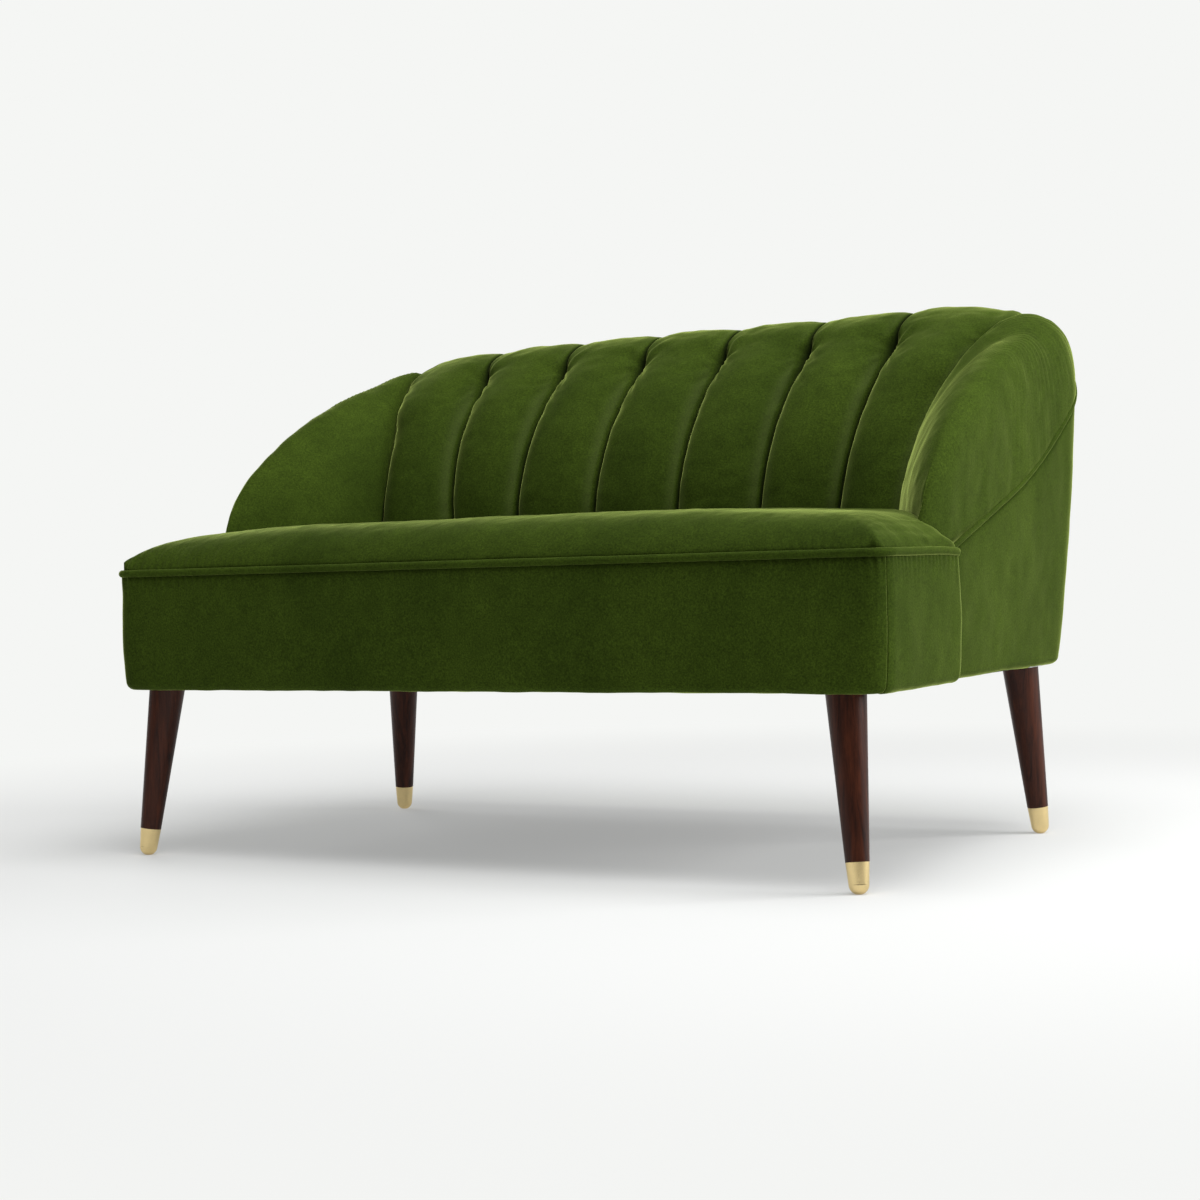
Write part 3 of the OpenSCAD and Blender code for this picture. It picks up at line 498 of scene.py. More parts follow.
def make_borders():
    """The bands under the seat: one across the front and one on each side, with a gap at the seam."""
    q_half = np.concatenate([np.linspace(0, 1, 230)[:-1], np.linspace(1, SEAM_Q - 0.005, 20)])
    q = np.concatenate([-q_half[::-1], q_half[1:]])

    def front(q, z):
        p, n = block_frame(np.abs(q), np.broadcast_to(z, q.shape))
        sign = np.where(q < 0, -1.0, 1.0)[..., None]
        flip_x = np.concatenate([sign, np.ones_like(sign), np.ones_like(sign)], -1)
        return p * flip_x, n * flip_x

    outer, inner = band(front, q)
    solid("front_band", ruffle_border(outer, 3), inner, VELVET, ["front_border"])
    q = np.concatenate([np.linspace(SEAM_Q + 0.005, 2, 8)[:-1], np.linspace(2, 3, 80)[:-1],
                        np.linspace(3, 4, 14)])
    outer, inner = band(block_frame, q)
    outer = ruffle_border(outer, 5)
    solid("side_band_right", outer, inner, VELVET, ["side_border_right"])
    solid("side_band_left", mirror_x(outer), mirror_x(inner), VELVET, ["side_border_left"],
          flip=True)


def ruffle_border(g, seed):
    """Unevenness of a band, and small folds under the piping, most of them near the front corners."""
    n = normals_of(g)
    n *= np.sign((n[..., 1:2] * -1 + n[..., 0:1] * np.sign(g[..., 0:1])) + 1e-9)
    amount = SURFACE_WAVE * fbm(g, 9.0, seed, 3)
    under = np.maximum(0, PIPING_H - BAND_TOP_GAP - g[..., 2])
    near_corner = 0.2 + smooth((np.abs(g[..., 0]) - 0.25) / 0.3)
    pull = near_corner * (1 - 0.75 * smooth((g[..., 1] - FACE_Y) / 0.03))
    along = g[..., 0] + g[..., 1]
    fold = np.sin(2 * math.pi * along / BAND_PITCH + 5.0 * fbm(g, 13.0, seed + 1, 2))
    amount += 0.0013 * pull * np.exp(-under / 0.016) * fold
    return g + n * amount[..., None]


SEAT_ROLL = 0.150          # the seat's top reaches its full height this far in from its edges
COVER_H = PIPING_H + 0.002
SIDE_DROP = 0.010          # and it's this much lower at its sides than in the middle
CORE_TOP_MIN = 0.4235
CORE_H = 0.4075            # underside of the foam
CORE_IN = 0.008            # the foam's front is this far in from the face


def crown(x, y):
    """Height of the seat's top: a steep roll off its edges, the same all round its corners."""
    edge = block_x(PIPING_H) - 0.003
    dx = np.maximum(1e-4, edge - np.abs(x))
    dy = np.maximum(1e-4, y - FACE_Y)
    run = clamp01((dx ** -4 + dy ** -4) ** -0.25 / SEAT_ROLL)
    full = SEAT_H - SIDE_DROP * smooth((np.abs(x) - 0.30) / 0.30) - COVER_H
    tail = smooth((np.abs(x) - 0.594) / 0.010) * clamp01((y - NOSE_Y) / (TAIL_Y - NOSE_Y))
    return COVER_H + full * (1 - (1 - run) ** 3.6) ** 0.72 * (1 - tail ** 2) ** 0.5


def make_seat():
    """The cover with its folds above the piping, closed underneath, and the foam inside it."""
    edge = block_x(PIPING_H) - 0.0035
    xs = np.concatenate([np.linspace(0, 0.45, 160)[:-1], np.linspace(0.45, 0.475, 8)[:-1],
                         0.475 + (edge - 0.475) * np.sin(np.linspace(0, math.pi / 2, 70))])
    xs = np.concatenate([-xs[::-1], xs[1:]])
    wing_line = bezier(WING_BASE, np.linspace(0, 1, 40))
    rear = np.interp(np.abs(xs), wing_line[:, 0], wing_line[:, 1]) + 0.004
    rear = np.where(np.abs(xs) > 0.5985, TAIL_Y, rear)
    corner = BLOCK_R - 0.004
    over = np.maximum(0, np.abs(xs) - (edge - corner))
    front = FACE_Y + 0.0015 + corner - np.sqrt(np.maximum(0, corner ** 2 - over ** 2))
    k = np.linspace(0, 1, 100)
    y = lerp(front[:, None], rear[:, None], (0.35 * k + 0.65 * k ** 2.2)[None, :])
    x = np.broadcast_to(xs[:, None], y.shape)
    top = np.stack([x, y, crown(x, y)], -1)
    n = normals_of(top)
    n *= np.sign(n[..., 2:3] + 1e-9)
    wave = 0.0018 * fbm(top, 5.0, 1, 3) + 0.0006 * fbm(top, 26.0, 2, 3)
    near_corner = smooth((np.abs(x) - 0.28) / 0.25) + 0.25
    fold = np.sin(2 * math.pi * x / GATHER_PITCH + 2.5 * fbm(top, 12.0, 3, 2))
    wave = wave + 0.0016 * near_corner * fold * np.exp(-(top[..., 2] - 0.430) / 0.014)
    top = top + n * wave[..., None]
    low = np.stack([x, y, np.full_like(y, PIPING_H + 0.001)], -1)
    low[..., 2] = np.minimum(low[..., 2], top[..., 2] - 0.0004)
    solid("seat_cushion", top, low, VELVET, ["seat_cover"])
    core_y = np.where(np.abs(x) > 0.59, np.minimum(y, SIDE_END_Y - 0.015), lerp(y, 0.2, 0.02))
    core_y = np.maximum(core_y, FACE_Y + CORE_IN)
    core_top = np.stack([x * 0.985, core_y, np.maximum(crown(x, y) - 0.006, CORE_TOP_MIN)], -1)
    core_low = core_top.copy()
    core_low[..., 2] = CORE_H
    solid("seat_core", core_top, core_low, FOAM, ["seat_foam"])


def make_piping():
    """The cord round the seat, whose ends turn in and down behind the side bands."""
    half = []
    steps = [np.linspace(0, 1, 70)[:-1], np.linspace(1, 2, 22)[:-1], np.linspace(2, 3, 30)[:-1],
             np.linspace(3, 3.5, 10)]
    for q in np.concatenate(steps):
        p, n = block_frame(q, PIPING_H - 0.0004 - 0.005 * smooth((q - 2.7) / 0.7))
        half.append(p + n * lerp(0.0003, -0.004, smooth((q - 2.8) / 0.6)))
    half = np.array(half)
    path = np.concatenate([mirror_x(half)[::-1], half[1:]])
    tube("seat_welt", path, PIPING_R, VELVET, ["seat_piping"], wobble=0.06)


# ---------------------------------------------------------------- back and wings
BACK_Y = 0.012     # the profiles below are measured from the front feet
VALLEY = [(.470, .405), (.483, .480), (.500, .550), (.543, .627), (.603, .690), (.647, .726), (.665, .770),
          (.728, .795), (.797, .768), (.822, .720)]
RIDGE = [(.452, .405), (.461, .480), (.475, .550), (.506, .627), (.557, .697), (.613, .749), (.668, .785),
         (.732, .802), (.800, .777), (.826, .720)]
CREST_ROW = 7 / 9                          # both profiles reach the crest at their eighth point
# Four seams on each side, from the middle out. It's sewn by hand, so the left side isn't quite a mirror.
SEAM_BASE = [0.075, 0.218, 0.347, 0.467]   # how far out they start at the seat
SEAM_CREST = [0.075, 0.228, 0.378, 0.560]  # and cross the crest
SEAM_BASE_LEFT = [0.075, 0.218, 0.334, 0.467]
SEAM_CREST_LEFT = [0.075, 0.228, 0.390, 0.560]
SEAM_BACK = [(0, 0), (0, 0), (0, -0.003), (-0.032, -0.005)]   # how far back they stand at both places
DROP_LEFT = [0, 0.001, 0.006, 0.030]       # the left shoulder is stuffed lower than the right one
DROP_RIGHT = [0, -0.001, -0.003, 0.014]
TUCK_H = 0.735             # each seam has a deep tuck at this height
ROWS = 110                 # points from the seat over the crest to the back welt


def seam_values(i):
    """x at base and crest, y offsets at base and crest, and crest drop of seam i (-4..-1, 1..4)."""
    j = abs(i) - 1
    s = math.copysign(1, i)
    base, crest = (SEAM_BASE[j], SEAM_CREST[j]) if i > 0 else (SEAM_BASE_LEFT[j], SEAM_CREST_LEFT[j])
    return (s * base, s * crest, *SEAM_BACK[j], (DROP_RIGHT if i > 0 else DROP_LEFT)[j])


def profiles():
    """Rows t from the seat (0) over the crest to the back welt (1), and both profiles at them."""
    t = np.linspace(0, 1, ROWS)
    return t, catmull(VALLEY, t), catmull(RIDGE, t)


def seam_curve(i):
    """Points of seam i from the base over the crest to the back welt."""
    t, valley, ridge = profiles()
    xb, xc, yb, yc, drop = seam_values(i)
    soften = 0.45 if abs(i) == 4 else 0.0
    pr = lerp(valley, ridge, (soften * smooth((t - 0.35) / 0.15) * (1 - smooth((t - 0.62) / 0.12)))[:, None])
    g = clamp01((pr[:, 1] - 0.44) / 0.35)
    g = np.where(t > CREST_ROW, 1.0, g)
    x = lerp(xb, xc, g ** 2 if abs(i) == 4 else g)
    fade = 1 - smooth((t - CREST_ROW) / (1 - CREST_ROW))       # 1 up to the crest, 0 at the back welt
    y = pr[:, 0] + BACK_Y + lerp(yb, yc, g) * fade
    z = pr[:, 1] - drop * g * fade
    y = y + 0.007 * np.exp(-((z - (TUCK_H + 0.002)) / 0.026) ** 2) * (t < CREST_ROW)
    return np.stack([x, y, z], -1)


def cross_swell(k):
    """Section of a channel: 0 at its seams, 1 in the middle, with its edges tucked into the seam."""
    edge = 1 - abs(2 * k - 1)
    return (1 - (1 - edge) ** 2.2) ** 0.62 - 0.42 * math.exp(-edge / 0.022)


def inner_wall(outer, across, thick_in, thick_out, drop):
    """The hidden side of a pad: its outer surface drawn in towards the frame."""
    base = outer[:, :1, :]
    crest = outer[..., 2].max(axis=1)[:, None]
    wide = ((outer[:, -1:, :] - base) * across).sum(-1)
    k = ((outer - base) * across).sum(-1) / np.maximum(wide, 1e-6)
    move = thick_in * (1 - k) - thick_out * k
    inner = outer + across * move[..., None]
    low = base[..., 2]
    cut = (crest - drop - low) / (crest - low)
    inner[..., 2] = low + (outer[..., 2] - low) * cut
    return inner


def tuck_creases(g, seam, seed):
    """Small pleats that fan out from the deep tuck of a seam below the crest."""
    rows = np.arange(len(seam))
    tuck = seam[np.argmin(np.abs(seam[:, 2] - TUCK_H) + 10.0 * (rows > CREST_ROW * len(seam)))]
    dx, dz = g[..., 0] - tuck[0], g[..., 2] - tuck[2]
    angle = np.arctan2(dz, np.abs(dx) + 1e-4)
    reach = np.exp(-((dx ** 2 + (0.7 * dz) ** 2) / 0.042 ** 2))
    return 0.0021 * reach * np.sin(8.0 * angle + 3.0 * fbm(g, 16.0, seed, 2))


def seam_shade(g, seam):
    """Painted shade along a seam: a thin dark line on it, wider at the deep tuck. Beside the line it's below
    0, a painted sheen that looks lighter."""
    gap = np.abs(g[..., 0] - seam[None, :, 0])
    front = np.arange(len(seam)) < CREST_ROW * len(seam)
    # Painted sheen beside the seam, weaker towards the crest.
    glow = np.exp(-((gap - 0.008) / 0.009) ** 2) * (1 - 0.6 * smooth((seam[:, 2] - 0.68) / 0.06)) * front
    tuck = np.exp(-((seam[:, 2] - TUCK_H) / 0.021) ** 2) * front
    # Painted shade: the dark line, wider near the tuck, minus the painted sheen.
    return np.exp(-(gap / (0.0036 + 0.0050 * tuck)) ** 2) - 0.24 * glow


def make_channels():
    """Seven stuffed channels; the end ones stand up beside the wings."""
    t, valley, ridge = profiles()
    seams = [-4, -3, -2, -1, 1, 2, 3, 4]
    for c in range(7):
        a, b = seam_curve(seams[c]), seam_curve(seams[c + 1])
        k = 0.5 - 0.5 * np.cos(np.linspace(0.02, math.pi - 0.02, 34))
        k = lerp(k, np.linspace(0.003, 0.997, 34), 0.35)
        lift = ridge - valley
        grid = []
        for kk in k:
            line = lerp(a, b, kk)
            rise = {0: 1 - (1 - kk) ** 2.5, 6: kk ** 2.5}.get(c, kk)
            line[:, 2] = lerp(a[:, 2], b[:, 2], rise)
            sw = cross_swell(kk)
            line = line + np.stack([0 * t, lift[:, 0] * sw, lift[:, 1] * sw], -1)
            grid.append(line)
        g = np.array(grid)
        n = normals_of(g)
        n *= -np.sign((n[..., 1:2] - n[..., 2:3]) + 1e-9)
        calm = np.minimum(1, (1 - np.abs(2 * k - 1)) * 6)[:, None]
        wave = 0.0016 * fbm(g, 11.0, 10 + c, 3) + 0.0007 * fbm(g * np.array([1, 1, 2.2]), 34.0, 20 + c, 2)
        wave = wave + tuck_creases(g, a, 30 + c) + tuck_creases(g, b, 50 + c)
        g = g + n * (wave * calm)[..., None]
        inner = inner_wall(g, np.array([0, 1.0, 0]), 0.034, 0.006, 0.034)
        # Painted shade and painted sheen of whichever seam is nearer.
        shades = seam_shade(g, a), seam_shade(g, b)
        painted_seam_shade_and_sheen = np.where(np.abs(shades[0]) > np.abs(shades[1]), *shades)
        name = "back_channel_%d" % (c + 1)
        solid(name[5:], g, inner, VELVET, [name], painted_seam_shade_and_sheen=painted_seam_shade_and_sheen)


def wing_crest_h(y):
    """Height of a wing's crest, which slopes down to its nose."""
    k = clamp01((0.832 - y) / 0.640)
    return 0.775 - 0.345 * (1 - (1 - k ** 1.5) ** 0.625)


def make_wing(side, name, start_h, flip):
    """One wing, shaped as the right one; side is 1 for the right and -1 for the left."""
    ridge = profiles()[2]
    ts = np.concatenate([np.linspace(0, 0.12, 24)[:-1], np.linspace(0.12, 0.9, 100)[:-1],
                         0.9 + 0.1 * np.sin(np.linspace(0, math.pi / 2, 24))])
    start = -CORNER_LEN + 0.32 * CORNER_R
    run = DEPTH - NOSE_Y - CORNER_R - 0.008
    seam = seam_curve(4 * side) * np.array([side, 1, 1])
    base = bezier(WING_BASE, ts)
    crest = bezier(WING_CREST, ts)
    s = lerp(start, run, ts ** 0.9)
    wz = np.maximum(0.4345, welt_h(s) + 0.0045)
    edge, out = outer_frame(s, wz)
    top = lerp(start_h, wing_crest_h(crest[:, 1]), smooth(ts / 0.28)) + 0.006 * smooth(ts / 0.08)
    nose = np.sqrt(np.maximum(0, 1 - clamp01((ts - 0.93) / 0.07) ** 2))
    top = lerp(wz + 0.020, top, nose)
    for path in (crest, edge):
        u = clamp01((NOSE_Y + 0.075 - path[:, 1]) / 0.075)
        path[:, 0] -= 0.016 * (1 - np.sqrt(np.maximum(0, 1 - u ** 2)))
    low = lerp(0.410, 0.434, clamp01((ts - 0.6) / 0.2))
    split = int(round(CREST_ROW * (ROWS - 1)))
    h_in = (ridge[:split + 1, 0] - ridge[0, 0]) / (ridge[split, 0] - ridge[0, 0])
    g_in = (ridge[:split + 1, 1] - ridge[0, 1]) / (ridge[split, 1] - ridge[0, 1])
    k_out = np.linspace(0, 1, ROWS - split)[1:]
    grid = []
    for i, t in enumerate(ts):
        b, c, w = base[i], crest[i], edge[i]
        inner = np.stack([lerp(b[0], c[0], h_in), lerp(b[1], c[1], h_in), lerp(low[i], top[i], g_in)], -1)
        a = k_out * math.pi / 2
        outer = np.stack([lerp(c[0], w[0], np.sin(a)), lerp(c[1], w[1], np.sin(a)),
                          lerp(wz[i], top[i], np.cos(a) ** 0.9)], -1)
        belly = 0.009 * np.sin(k_out * math.pi) * smooth(t / 0.05) * (1 - smooth((t - 0.85) / 0.15))
        outer = outer + out[i] * belly[:, None]
        line = np.concatenate([inner, outer])
        grid.append(lerp(line, seam, math.exp(-(t / 0.022))))      # it starts as seam 4 itself
    g = np.array(grid)
    rounded = g.copy()
    for _ in range(40):
        rounded[:, 1:-1] = 0.25 * rounded[:, :-2] + 0.5 * rounded[:, 1:-1] + 0.25 * rounded[:, 2:]
    g = lerp(g, rounded, smooth(ts / 0.10)[:, None, None])
    n = normals_of(g)
    centre = np.array([0.56, 0.5, 0.5])
    n *= np.sign(((g - centre) * n).sum(-1, keepdims=True) + 1e-9)
    ramp_in = smooth(ts / 0.03)[:, None]
    wave = 0.0016 * fbm(g, 9.0, 40, 3) + 0.0006 * fbm(g, 30.0, 41, 2)
    bent = ts[:, None] * 95 + 2.2 * fbm(g, 6.0, 42, 2) + 3.0 * np.linspace(-1, 1, ROWS)[None, :] ** 2
    near_crest = np.exp(-((np.arange(ROWS)[None, :] - split) / 22.0) ** 2)
    stretch = near_crest * smooth(ts / 0.06)[:, None] * (1 - smooth((ts - 0.35) / 0.3))[:, None]
    wave = wave + 0.00055 * stretch * np.sin(2 * math.pi * bent / 1.9)
    across = edge - base_3d(base, low)
    across[:, 2] = 0
    wide = np.linalg.norm(across, axis=1, keepdims=True)
    across = across / wide
    thick_in = wide * lerp(0.10, 0.34, clamp01(ts / 0.5))[:, None]
    inner = inner_wall(g, across[:, None, :], thick_in, lerp(0.006, 0.010, clamp01(ts / 0.1))[:, None],
                       np.minimum(0.036, 0.5 * (top - low))[:, None])
    g = g + n * (wave * ramp_in)[..., None]
    # Painted shade: a thin dark line along seam 4.
    gap = np.linalg.norm(g - seam[None, :, :], axis=-1)
    painted_seam_shade_and_sheen = np.exp(-(gap / 0.0034) ** 2)
    turn = np.array([side, 1, 1])
    solid("wing_" + name, g * turn, inner * turn, VELVET, ["wing_pad_" + name], flip, painted_seam_shade_and_sheen)


def base_3d(base, low):
    return np.concatenate([base, low[:, None]], 1)


# ---------------------------------------------------------------- outside panels and welt
def make_outside():
    """The panels outside both arms and the back, and the welt that closes them at the top."""
    s = np.concatenate([np.linspace(ARM_RUN + 0.009, 0, 70)[:-1], np.linspace(0, -CORNER_LEN - 0.008, 30)])
    o, i = hem(outer_frame, s, welt_h(s) - PANEL_GAP, PANEL_SKIN, rows=34, swell=0.0035)
    n = normals_of(o)
    centre = np.array([0.4, 0.6, 0.45])
    n *= np.sign(((o - centre) * n).sum(-1, keepdims=True) + 1e-9)
    pull = np.exp(-((o[..., 1] - ARM_FRONT_Y) / 0.030) ** 2 - ((o[..., 2] - 0.400) / 0.028) ** 2)
    fan = np.arctan2(o[..., 2] - 0.425, o[..., 1] - ARM_FRONT_Y + 0.02)
    crease = 0.0009 * pull * np.sin(22.0 * fan)
    o = o + n * (SURFACE_WAVE * fbm(o, 9.0, 60, 3) + crease)[..., None]
    solid("outside_arm_panel_right", o, i, VELVET, ["outside_arm_right"], flip=True)
    solid("outside_arm_panel_left", mirror_x(o), mirror_x(i), VELVET, ["outside_arm_left"])

    def rear(q, z):
        z = np.broadcast_to(z, q.shape)
        half = outer_x(z) - CORNER_R - SEAM_GAP
        return np.stack([q * half, outer_y(z), z], -1), np.broadcast_to([0.0, 1.0, 0.0], (len(q), 3))

    q = np.linspace(1, -1, 90)
    o, i = hem(rear, q, BACK_WELT_H - PANEL_GAP, PANEL_SKIN, rows=34, swell=0.0030 * (1 - np.abs(q) ** 6))
    above_hem = o[..., 2] > UNDERSIDE + HEM_R + 0.0001
    o[..., 1] += SURFACE_WAVE * fbm(o, 8.0, 70, 3) * above_hem
    solid("outside_back_panel", o, i, VELVET, ["outside_back"], flip=True)

    rise = [(ARM_RUN + 0.001, UNDERSIDE + 0.002), (ARM_RUN + 0.003, 0.30), (ARM_RUN + 0.008, 0.36),
            (ARM_RUN + 0.011, 0.409), (ARM_RUN + 0.010, 0.424)]
    along = [ARM_RUN * (1 - k / 40) for k in range(1, 41)]
    turn = [-CORNER_LEN * k / 20 for k in range(1, 21)]
    pts = []
    for a, b in catmull(rise, np.linspace(0, 1, 24)):
        p, n = outer_frame(a, b)
        pts.append(p - n * 0.003)
    for a in along + turn:
        p, n = outer_frame(a, welt_h(a))
        pts.append(p - n * 0.002)
    half = np.array(pts)
    join = lerp(half[-1], half[-1] * np.array([-1, 1, 1]), np.linspace(0, 1, 60)[1:-1, None])
    path = np.concatenate([half, join, mirror_x(half)[::-1]])
    tube("shell_welt", path, WELT_R, VELVET, ["shell_piping"], wobble=0.06)


# ---------------------------------------------------------------- dust cover, felt pad and webbing
COVER_T = 0.0008
PLATE_CUT = 0.049                           # the cover is cut away this far in round each leg plate


def make_dust_cover():
    """A thin cloth stapled under the rails, cut round the leg plates and hanging a little between."""
    (x0, y0, z0), (x1, y1, z1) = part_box("dust_cover")
    straight = y0 + 0.6904                  # its sides run in towards the rear corners from here
    rear_half = x1 - 0.101
    cuts = [(y0, y0 + 0.046), (y0 + 0.6048, y0 + 0.6568)]
    lines = [y0, cuts[0][1], cuts[1][0], cuts[1][1], straight, y1]
    parts = [np.linspace(p, q, max(2, round((q - p) / 0.014)) + 1)[:-1] for p, q in zip(lines, lines[1:])]
    ys = np.concatenate(parts + [[y1]])
    inner = 1 - PLATE_CUT / x1
    margin = np.linspace(inner, 1, 4)[1:]
    us = np.concatenate([-margin[::-1], np.linspace(-inner, inner, 81), margin])
    half = lerp(x1, rear_half, clamp01((ys - straight) / (y1 - straight)))
    x = us[:, None] * half[None, :]
    y = np.broadcast_to(ys[None, :], x.shape)
    span = np.sin(math.pi * np.abs(us))[:, None] * np.sin(math.pi * (ys - y0) / (y1 - y0))[None, :]
    flat = np.stack([x, y, np.zeros_like(x)], -1)
    sag = 0.004 * span + 0.0008 * span * fbm(flat, 14.0, 80, 3)
    low = np.stack([x, y, z0 - sag], -1).reshape(-1, 3)
    high = low + np.array([0, 0, COVER_T])
    nv, count = len(ys), len(low)
    kept = []
    for i in range(len(us) - 1):
        for j in range(nv - 1):
            beside = abs(us[i] + us[i + 1]) / 2 > inner
            at = (ys[j] + ys[j + 1]) / 2
            if not (beside and any(p < at < q for p, q in cuts)):
                kept.append((i * nv + j, i * nv + j + 1, (i + 1) * nv + j + 1, (i + 1) * nv + j))
    faces, edges = [], {}
    for f in kept:
        faces += [f, tuple(v + count for v in f[::-1])]
        for p, q in zip(f, f[1:] + f[:1]):
            edges[(p, q)] = True
    faces += [(q, p, p + count, q + count) for p, q in edges if (q, p) not in edges]
    used = sorted({v for f in faces for v in f})
    number = {v: k for k, v in enumerate(used)}
    verts = np.concatenate([low, high])[used]
    cover = mesh_object("cover_cloth", verts, [tuple(number[v] for v in f) for f in faces], DUST_CLOTH,
                        ["dust_cover"])
    area = 2 * x1 * (y1 - y0) - (x1 - rear_half) * (y1 - straight)
    area -= 2 * PLATE_CUT * sum(q - p for p, q in cuts)


FELT_T = 0.003
WEB_T = 0.0016
WEB_W = 0.050
WEB_AT = (-1, -0.535 / 0.75, -0.16 / 0.75, 0.16 / 0.75, 0.535 / 0.75, 1)    # from side to side


def make_felt():
    """The pad between springs and foam: a felt sheet that follows the springs a little."""
    (x0, y0, z0), (x1, y1, z1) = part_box("seat_insulator")
    shoulder, tongue = y0 + 0.163, 0.455    # it's narrower behind the shoulder
    margin = np.linspace(tongue, x1, 9)[1:]
    xs = np.concatenate([-margin[::-1], np.linspace(-tongue, tongue, 91), margin])
    back = np.where(np.abs(xs) > tongue + 0.001, shoulder, y1)
    k = np.linspace(0, 1, 44)
    y = lerp(y0, back[:, None], k[None, :])
    x = np.broadcast_to(xs[:, None], y.shape)
    dip = 0.0006 * (1 + np.cos(2 * math.pi * x / 0.09)) * np.sin(math.pi * k)[None, :]
    low = np.stack([x, y - FRONT_Y, z0 - dip], -1)
    high = low + np.array([0, 0, FELT_T])
    pad = solid("felt_pad", high, low, FELT, ["seat_insulator"])


def make_webbing():
    """Six woven bands pulled tight up the back, with a fine twill across them."""
    (x0, y0, z0), (x1, y1, z1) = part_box("back_webbing")
    verts, faces = [], []
    for share in WEB_AT:
        u = np.linspace(-0.5, 0.5, 11)
        v = np.linspace(0.004, 0.996, 90)
        x = share * (x1 - WEB_W / 2) + WEB_W * u[:, None] + 0 * v[None, :]
        y = lerp(y0 + WEB_T, y1, v)[None, :] + 0 * u[:, None]
        z = lerp(z0, z1, v)[None, :] + 0 * u[:, None]
        rib = 0.0002 * np.sin(2 * math.pi * (v[None, :] * 60 + 2 * u[:, None]))
        front = np.stack([x, y + rib - WEB_T / 2 - FRONT_Y, z], -1)
        rear = front + np.array([0, WEB_T, 0])
        start = len(verts)
        verts += [tuple(p) for p in np.concatenate([place(front).reshape(-1, 3), place(rear).reshape(-1, 3)])]
        faces += [tuple(start + k for k in f) for f in solid_faces(len(u), len(v))]
    bands = mesh_object("webbing_bands", verts, faces, WEBBING, ["back_webbing"])


make_dust_cover()
make_felt()
make_webbing()
make_borders()
make_seat()
make_piping()
make_channels()
make_wing(1, "right", 0.781, False)
make_wing(-1, "left", 0.766, True)
make_outside()


# ---------------------------------------------------------------- floor, light and camera
BACKGROUND = (0.913, 0.921, 0.905)


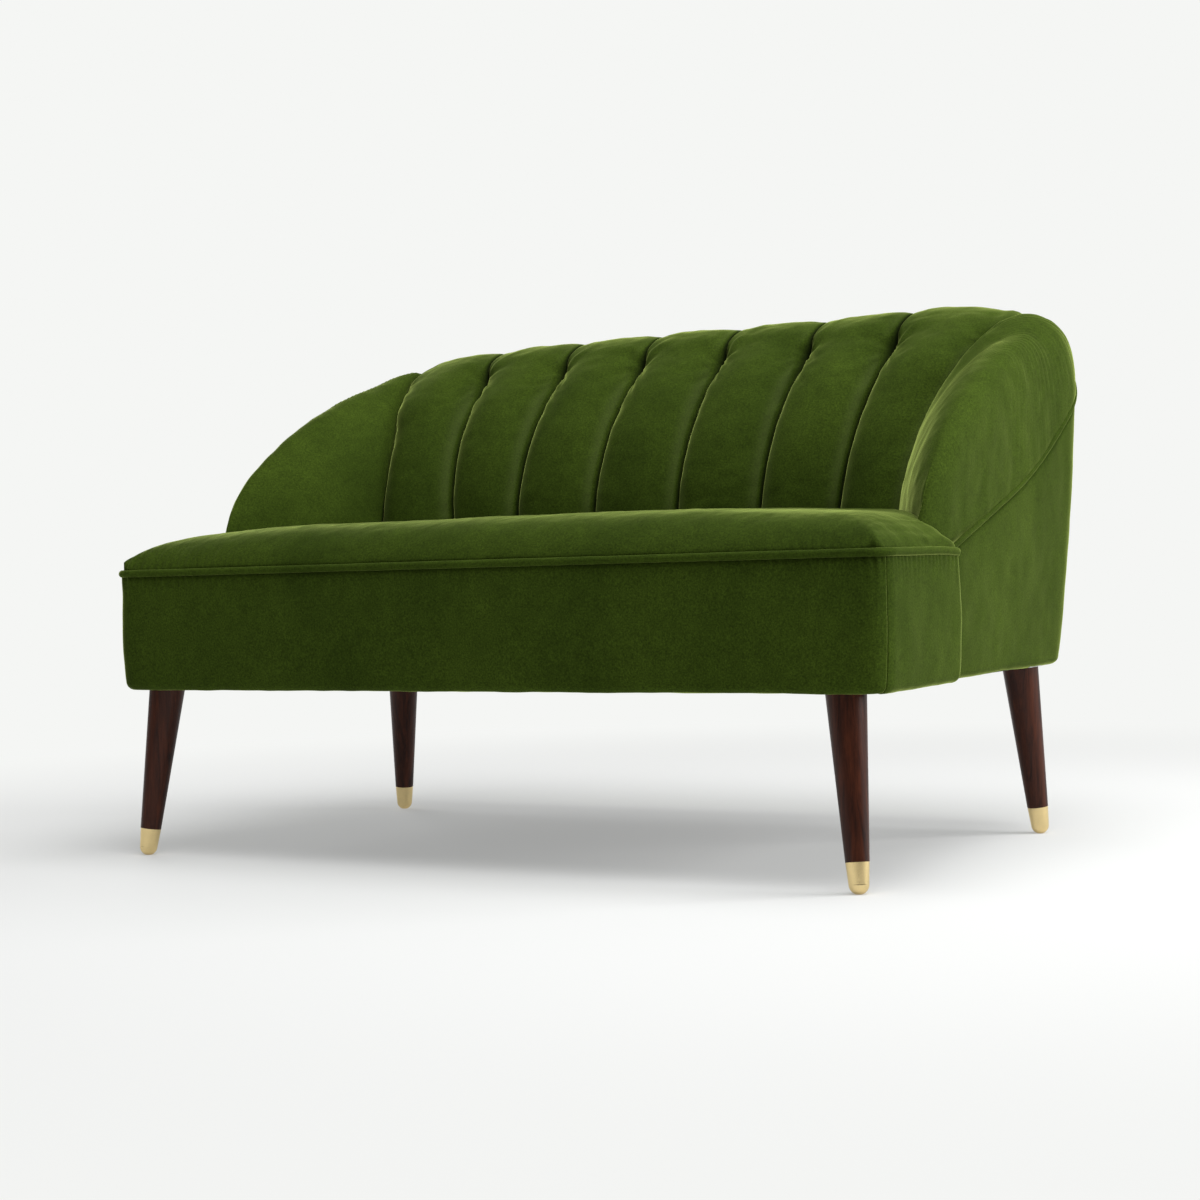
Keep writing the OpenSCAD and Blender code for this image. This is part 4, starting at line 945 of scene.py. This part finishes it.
def make_stage():
    bpy.ops.mesh.primitive_plane_add(size=60, location=(0, 0, 0))
    floor = bpy.context.object
    floor.name = "floor"
    m, nt, bsdf = new_material("floor")
    bsdf.inputs["Base Color"].default_value = (0.74, 0.745, 0.74, 1)
    bsdf.inputs["Roughness"].default_value = 0.8
    bsdf.inputs["Specular IOR Level"].default_value = 0.1
    glow = node(nt, "ShaderNodeEmission", Color=(*BACKGROUND, 1))
    pos = nt.nodes.new("ShaderNodeTexCoord").outputs["Object"]
    length = nt.nodes.new("ShaderNodeVectorMath")
    length.operation = "LENGTH"
    nt.links.new(pos, length.inputs[0])
    rng = node(nt, "ShaderNodeMapRange", **{"From Min": 0.9, "From Max": 2.4, "To Min": 0.33})
    rng.interpolation_type = "SMOOTHSTEP"
    nt.links.new(length.outputs["Value"], rng.inputs["Value"])
    mix = nt.nodes.new("ShaderNodeMixShader")
    nt.links.new(rng.outputs["Result"], mix.inputs["Fac"])
    nt.links.new(bsdf.outputs[0], mix.inputs[1])
    nt.links.new(glow.outputs[0], mix.inputs[2])
    nt.links.new(mix.outputs[0], nt.nodes["Material Output"].inputs["Surface"])
    floor.data.materials.append(m)

    world = bpy.data.worlds.new("studio")
    bpy.context.scene.world = world
    world.use_nodes = True
    nt = world.node_tree
    nt.nodes.clear()
    out = nt.nodes.new("ShaderNodeOutputWorld")
    ray = nt.nodes.new("ShaderNodeLightPath")
    seen = node(nt, "ShaderNodeBackground", Color=(*BACKGROUND, 1), Strength=1.0)
    fill = node(nt, "ShaderNodeBackground", Color=(0.97, 0.99, 1.0, 1), Strength=0.15)
    mix = nt.nodes.new("ShaderNodeMixShader")
    nt.links.new(ray.outputs["Is Camera Ray"], mix.inputs["Fac"])
    nt.links.new(fill.outputs[0], mix.inputs[1])
    nt.links.new(seen.outputs[0], mix.inputs[2])
    nt.links.new(mix.outputs[0], out.inputs["Surface"])


def area_light(name, location, target, size, power, colour=(1, 1, 1)):
    data = bpy.data.lights.new(name, "AREA")
    data.shape = "SQUARE"
    data.size = size
    data.energy = power
    data.color = colour
    ob = bpy.data.objects.new(name, data)
    ob.location = location
    ob.rotation_euler = (Vector(target) - Vector(location)).to_track_quat("-Z", "Y").to_euler()
    bpy.context.scene.collection.objects.link(ob)


def make_camera():
    yaw, pitch, roll = math.radians(31.091), math.radians(-0.924), math.radians(-1.6225)
    ahead = Vector((-math.sin(yaw) * math.cos(pitch), math.cos(yaw) * math.cos(pitch), math.sin(pitch)))
    right = Vector((math.cos(yaw), math.sin(yaw), 0))
    up = right.cross(ahead)
    right, up = (math.cos(roll) * right + math.sin(roll) * up, math.cos(roll) * up - math.sin(roll) * right)
    data = bpy.data.cameras.new("camera")
    data.sensor_width = 36
    data.lens = 68.0
    data.clip_end = 200
    cam = bpy.data.objects.new("camera", data)
    place_at = Vector((1.77979, -2.58087 + BACK_Y + FRONT_Y, 0.42215))
    cam.matrix_world = Matrix.Translation(place_at) @ Matrix((right, up, -ahead)).transposed().to_4x4()
    bpy.context.scene.collection.objects.link(cam)
    bpy.context.scene.camera = cam


make_stage()
area_light("top_light", (0.8, -0.4, 3.2), (0, 0, 0.4), 2.6, 120)
area_light("side_light", (3.5, 1.2, 1.5), (0.2, 0, 0.4), 2.0, 122)
area_light("left_light", (-3.0, 1.4, 1.8), (0, 0, 0.4), 2.0, 30)
make_camera()
bpy.context.scene.view_settings.view_transform = "Standard"
bpy.context.scene.view_settings.look = "None"
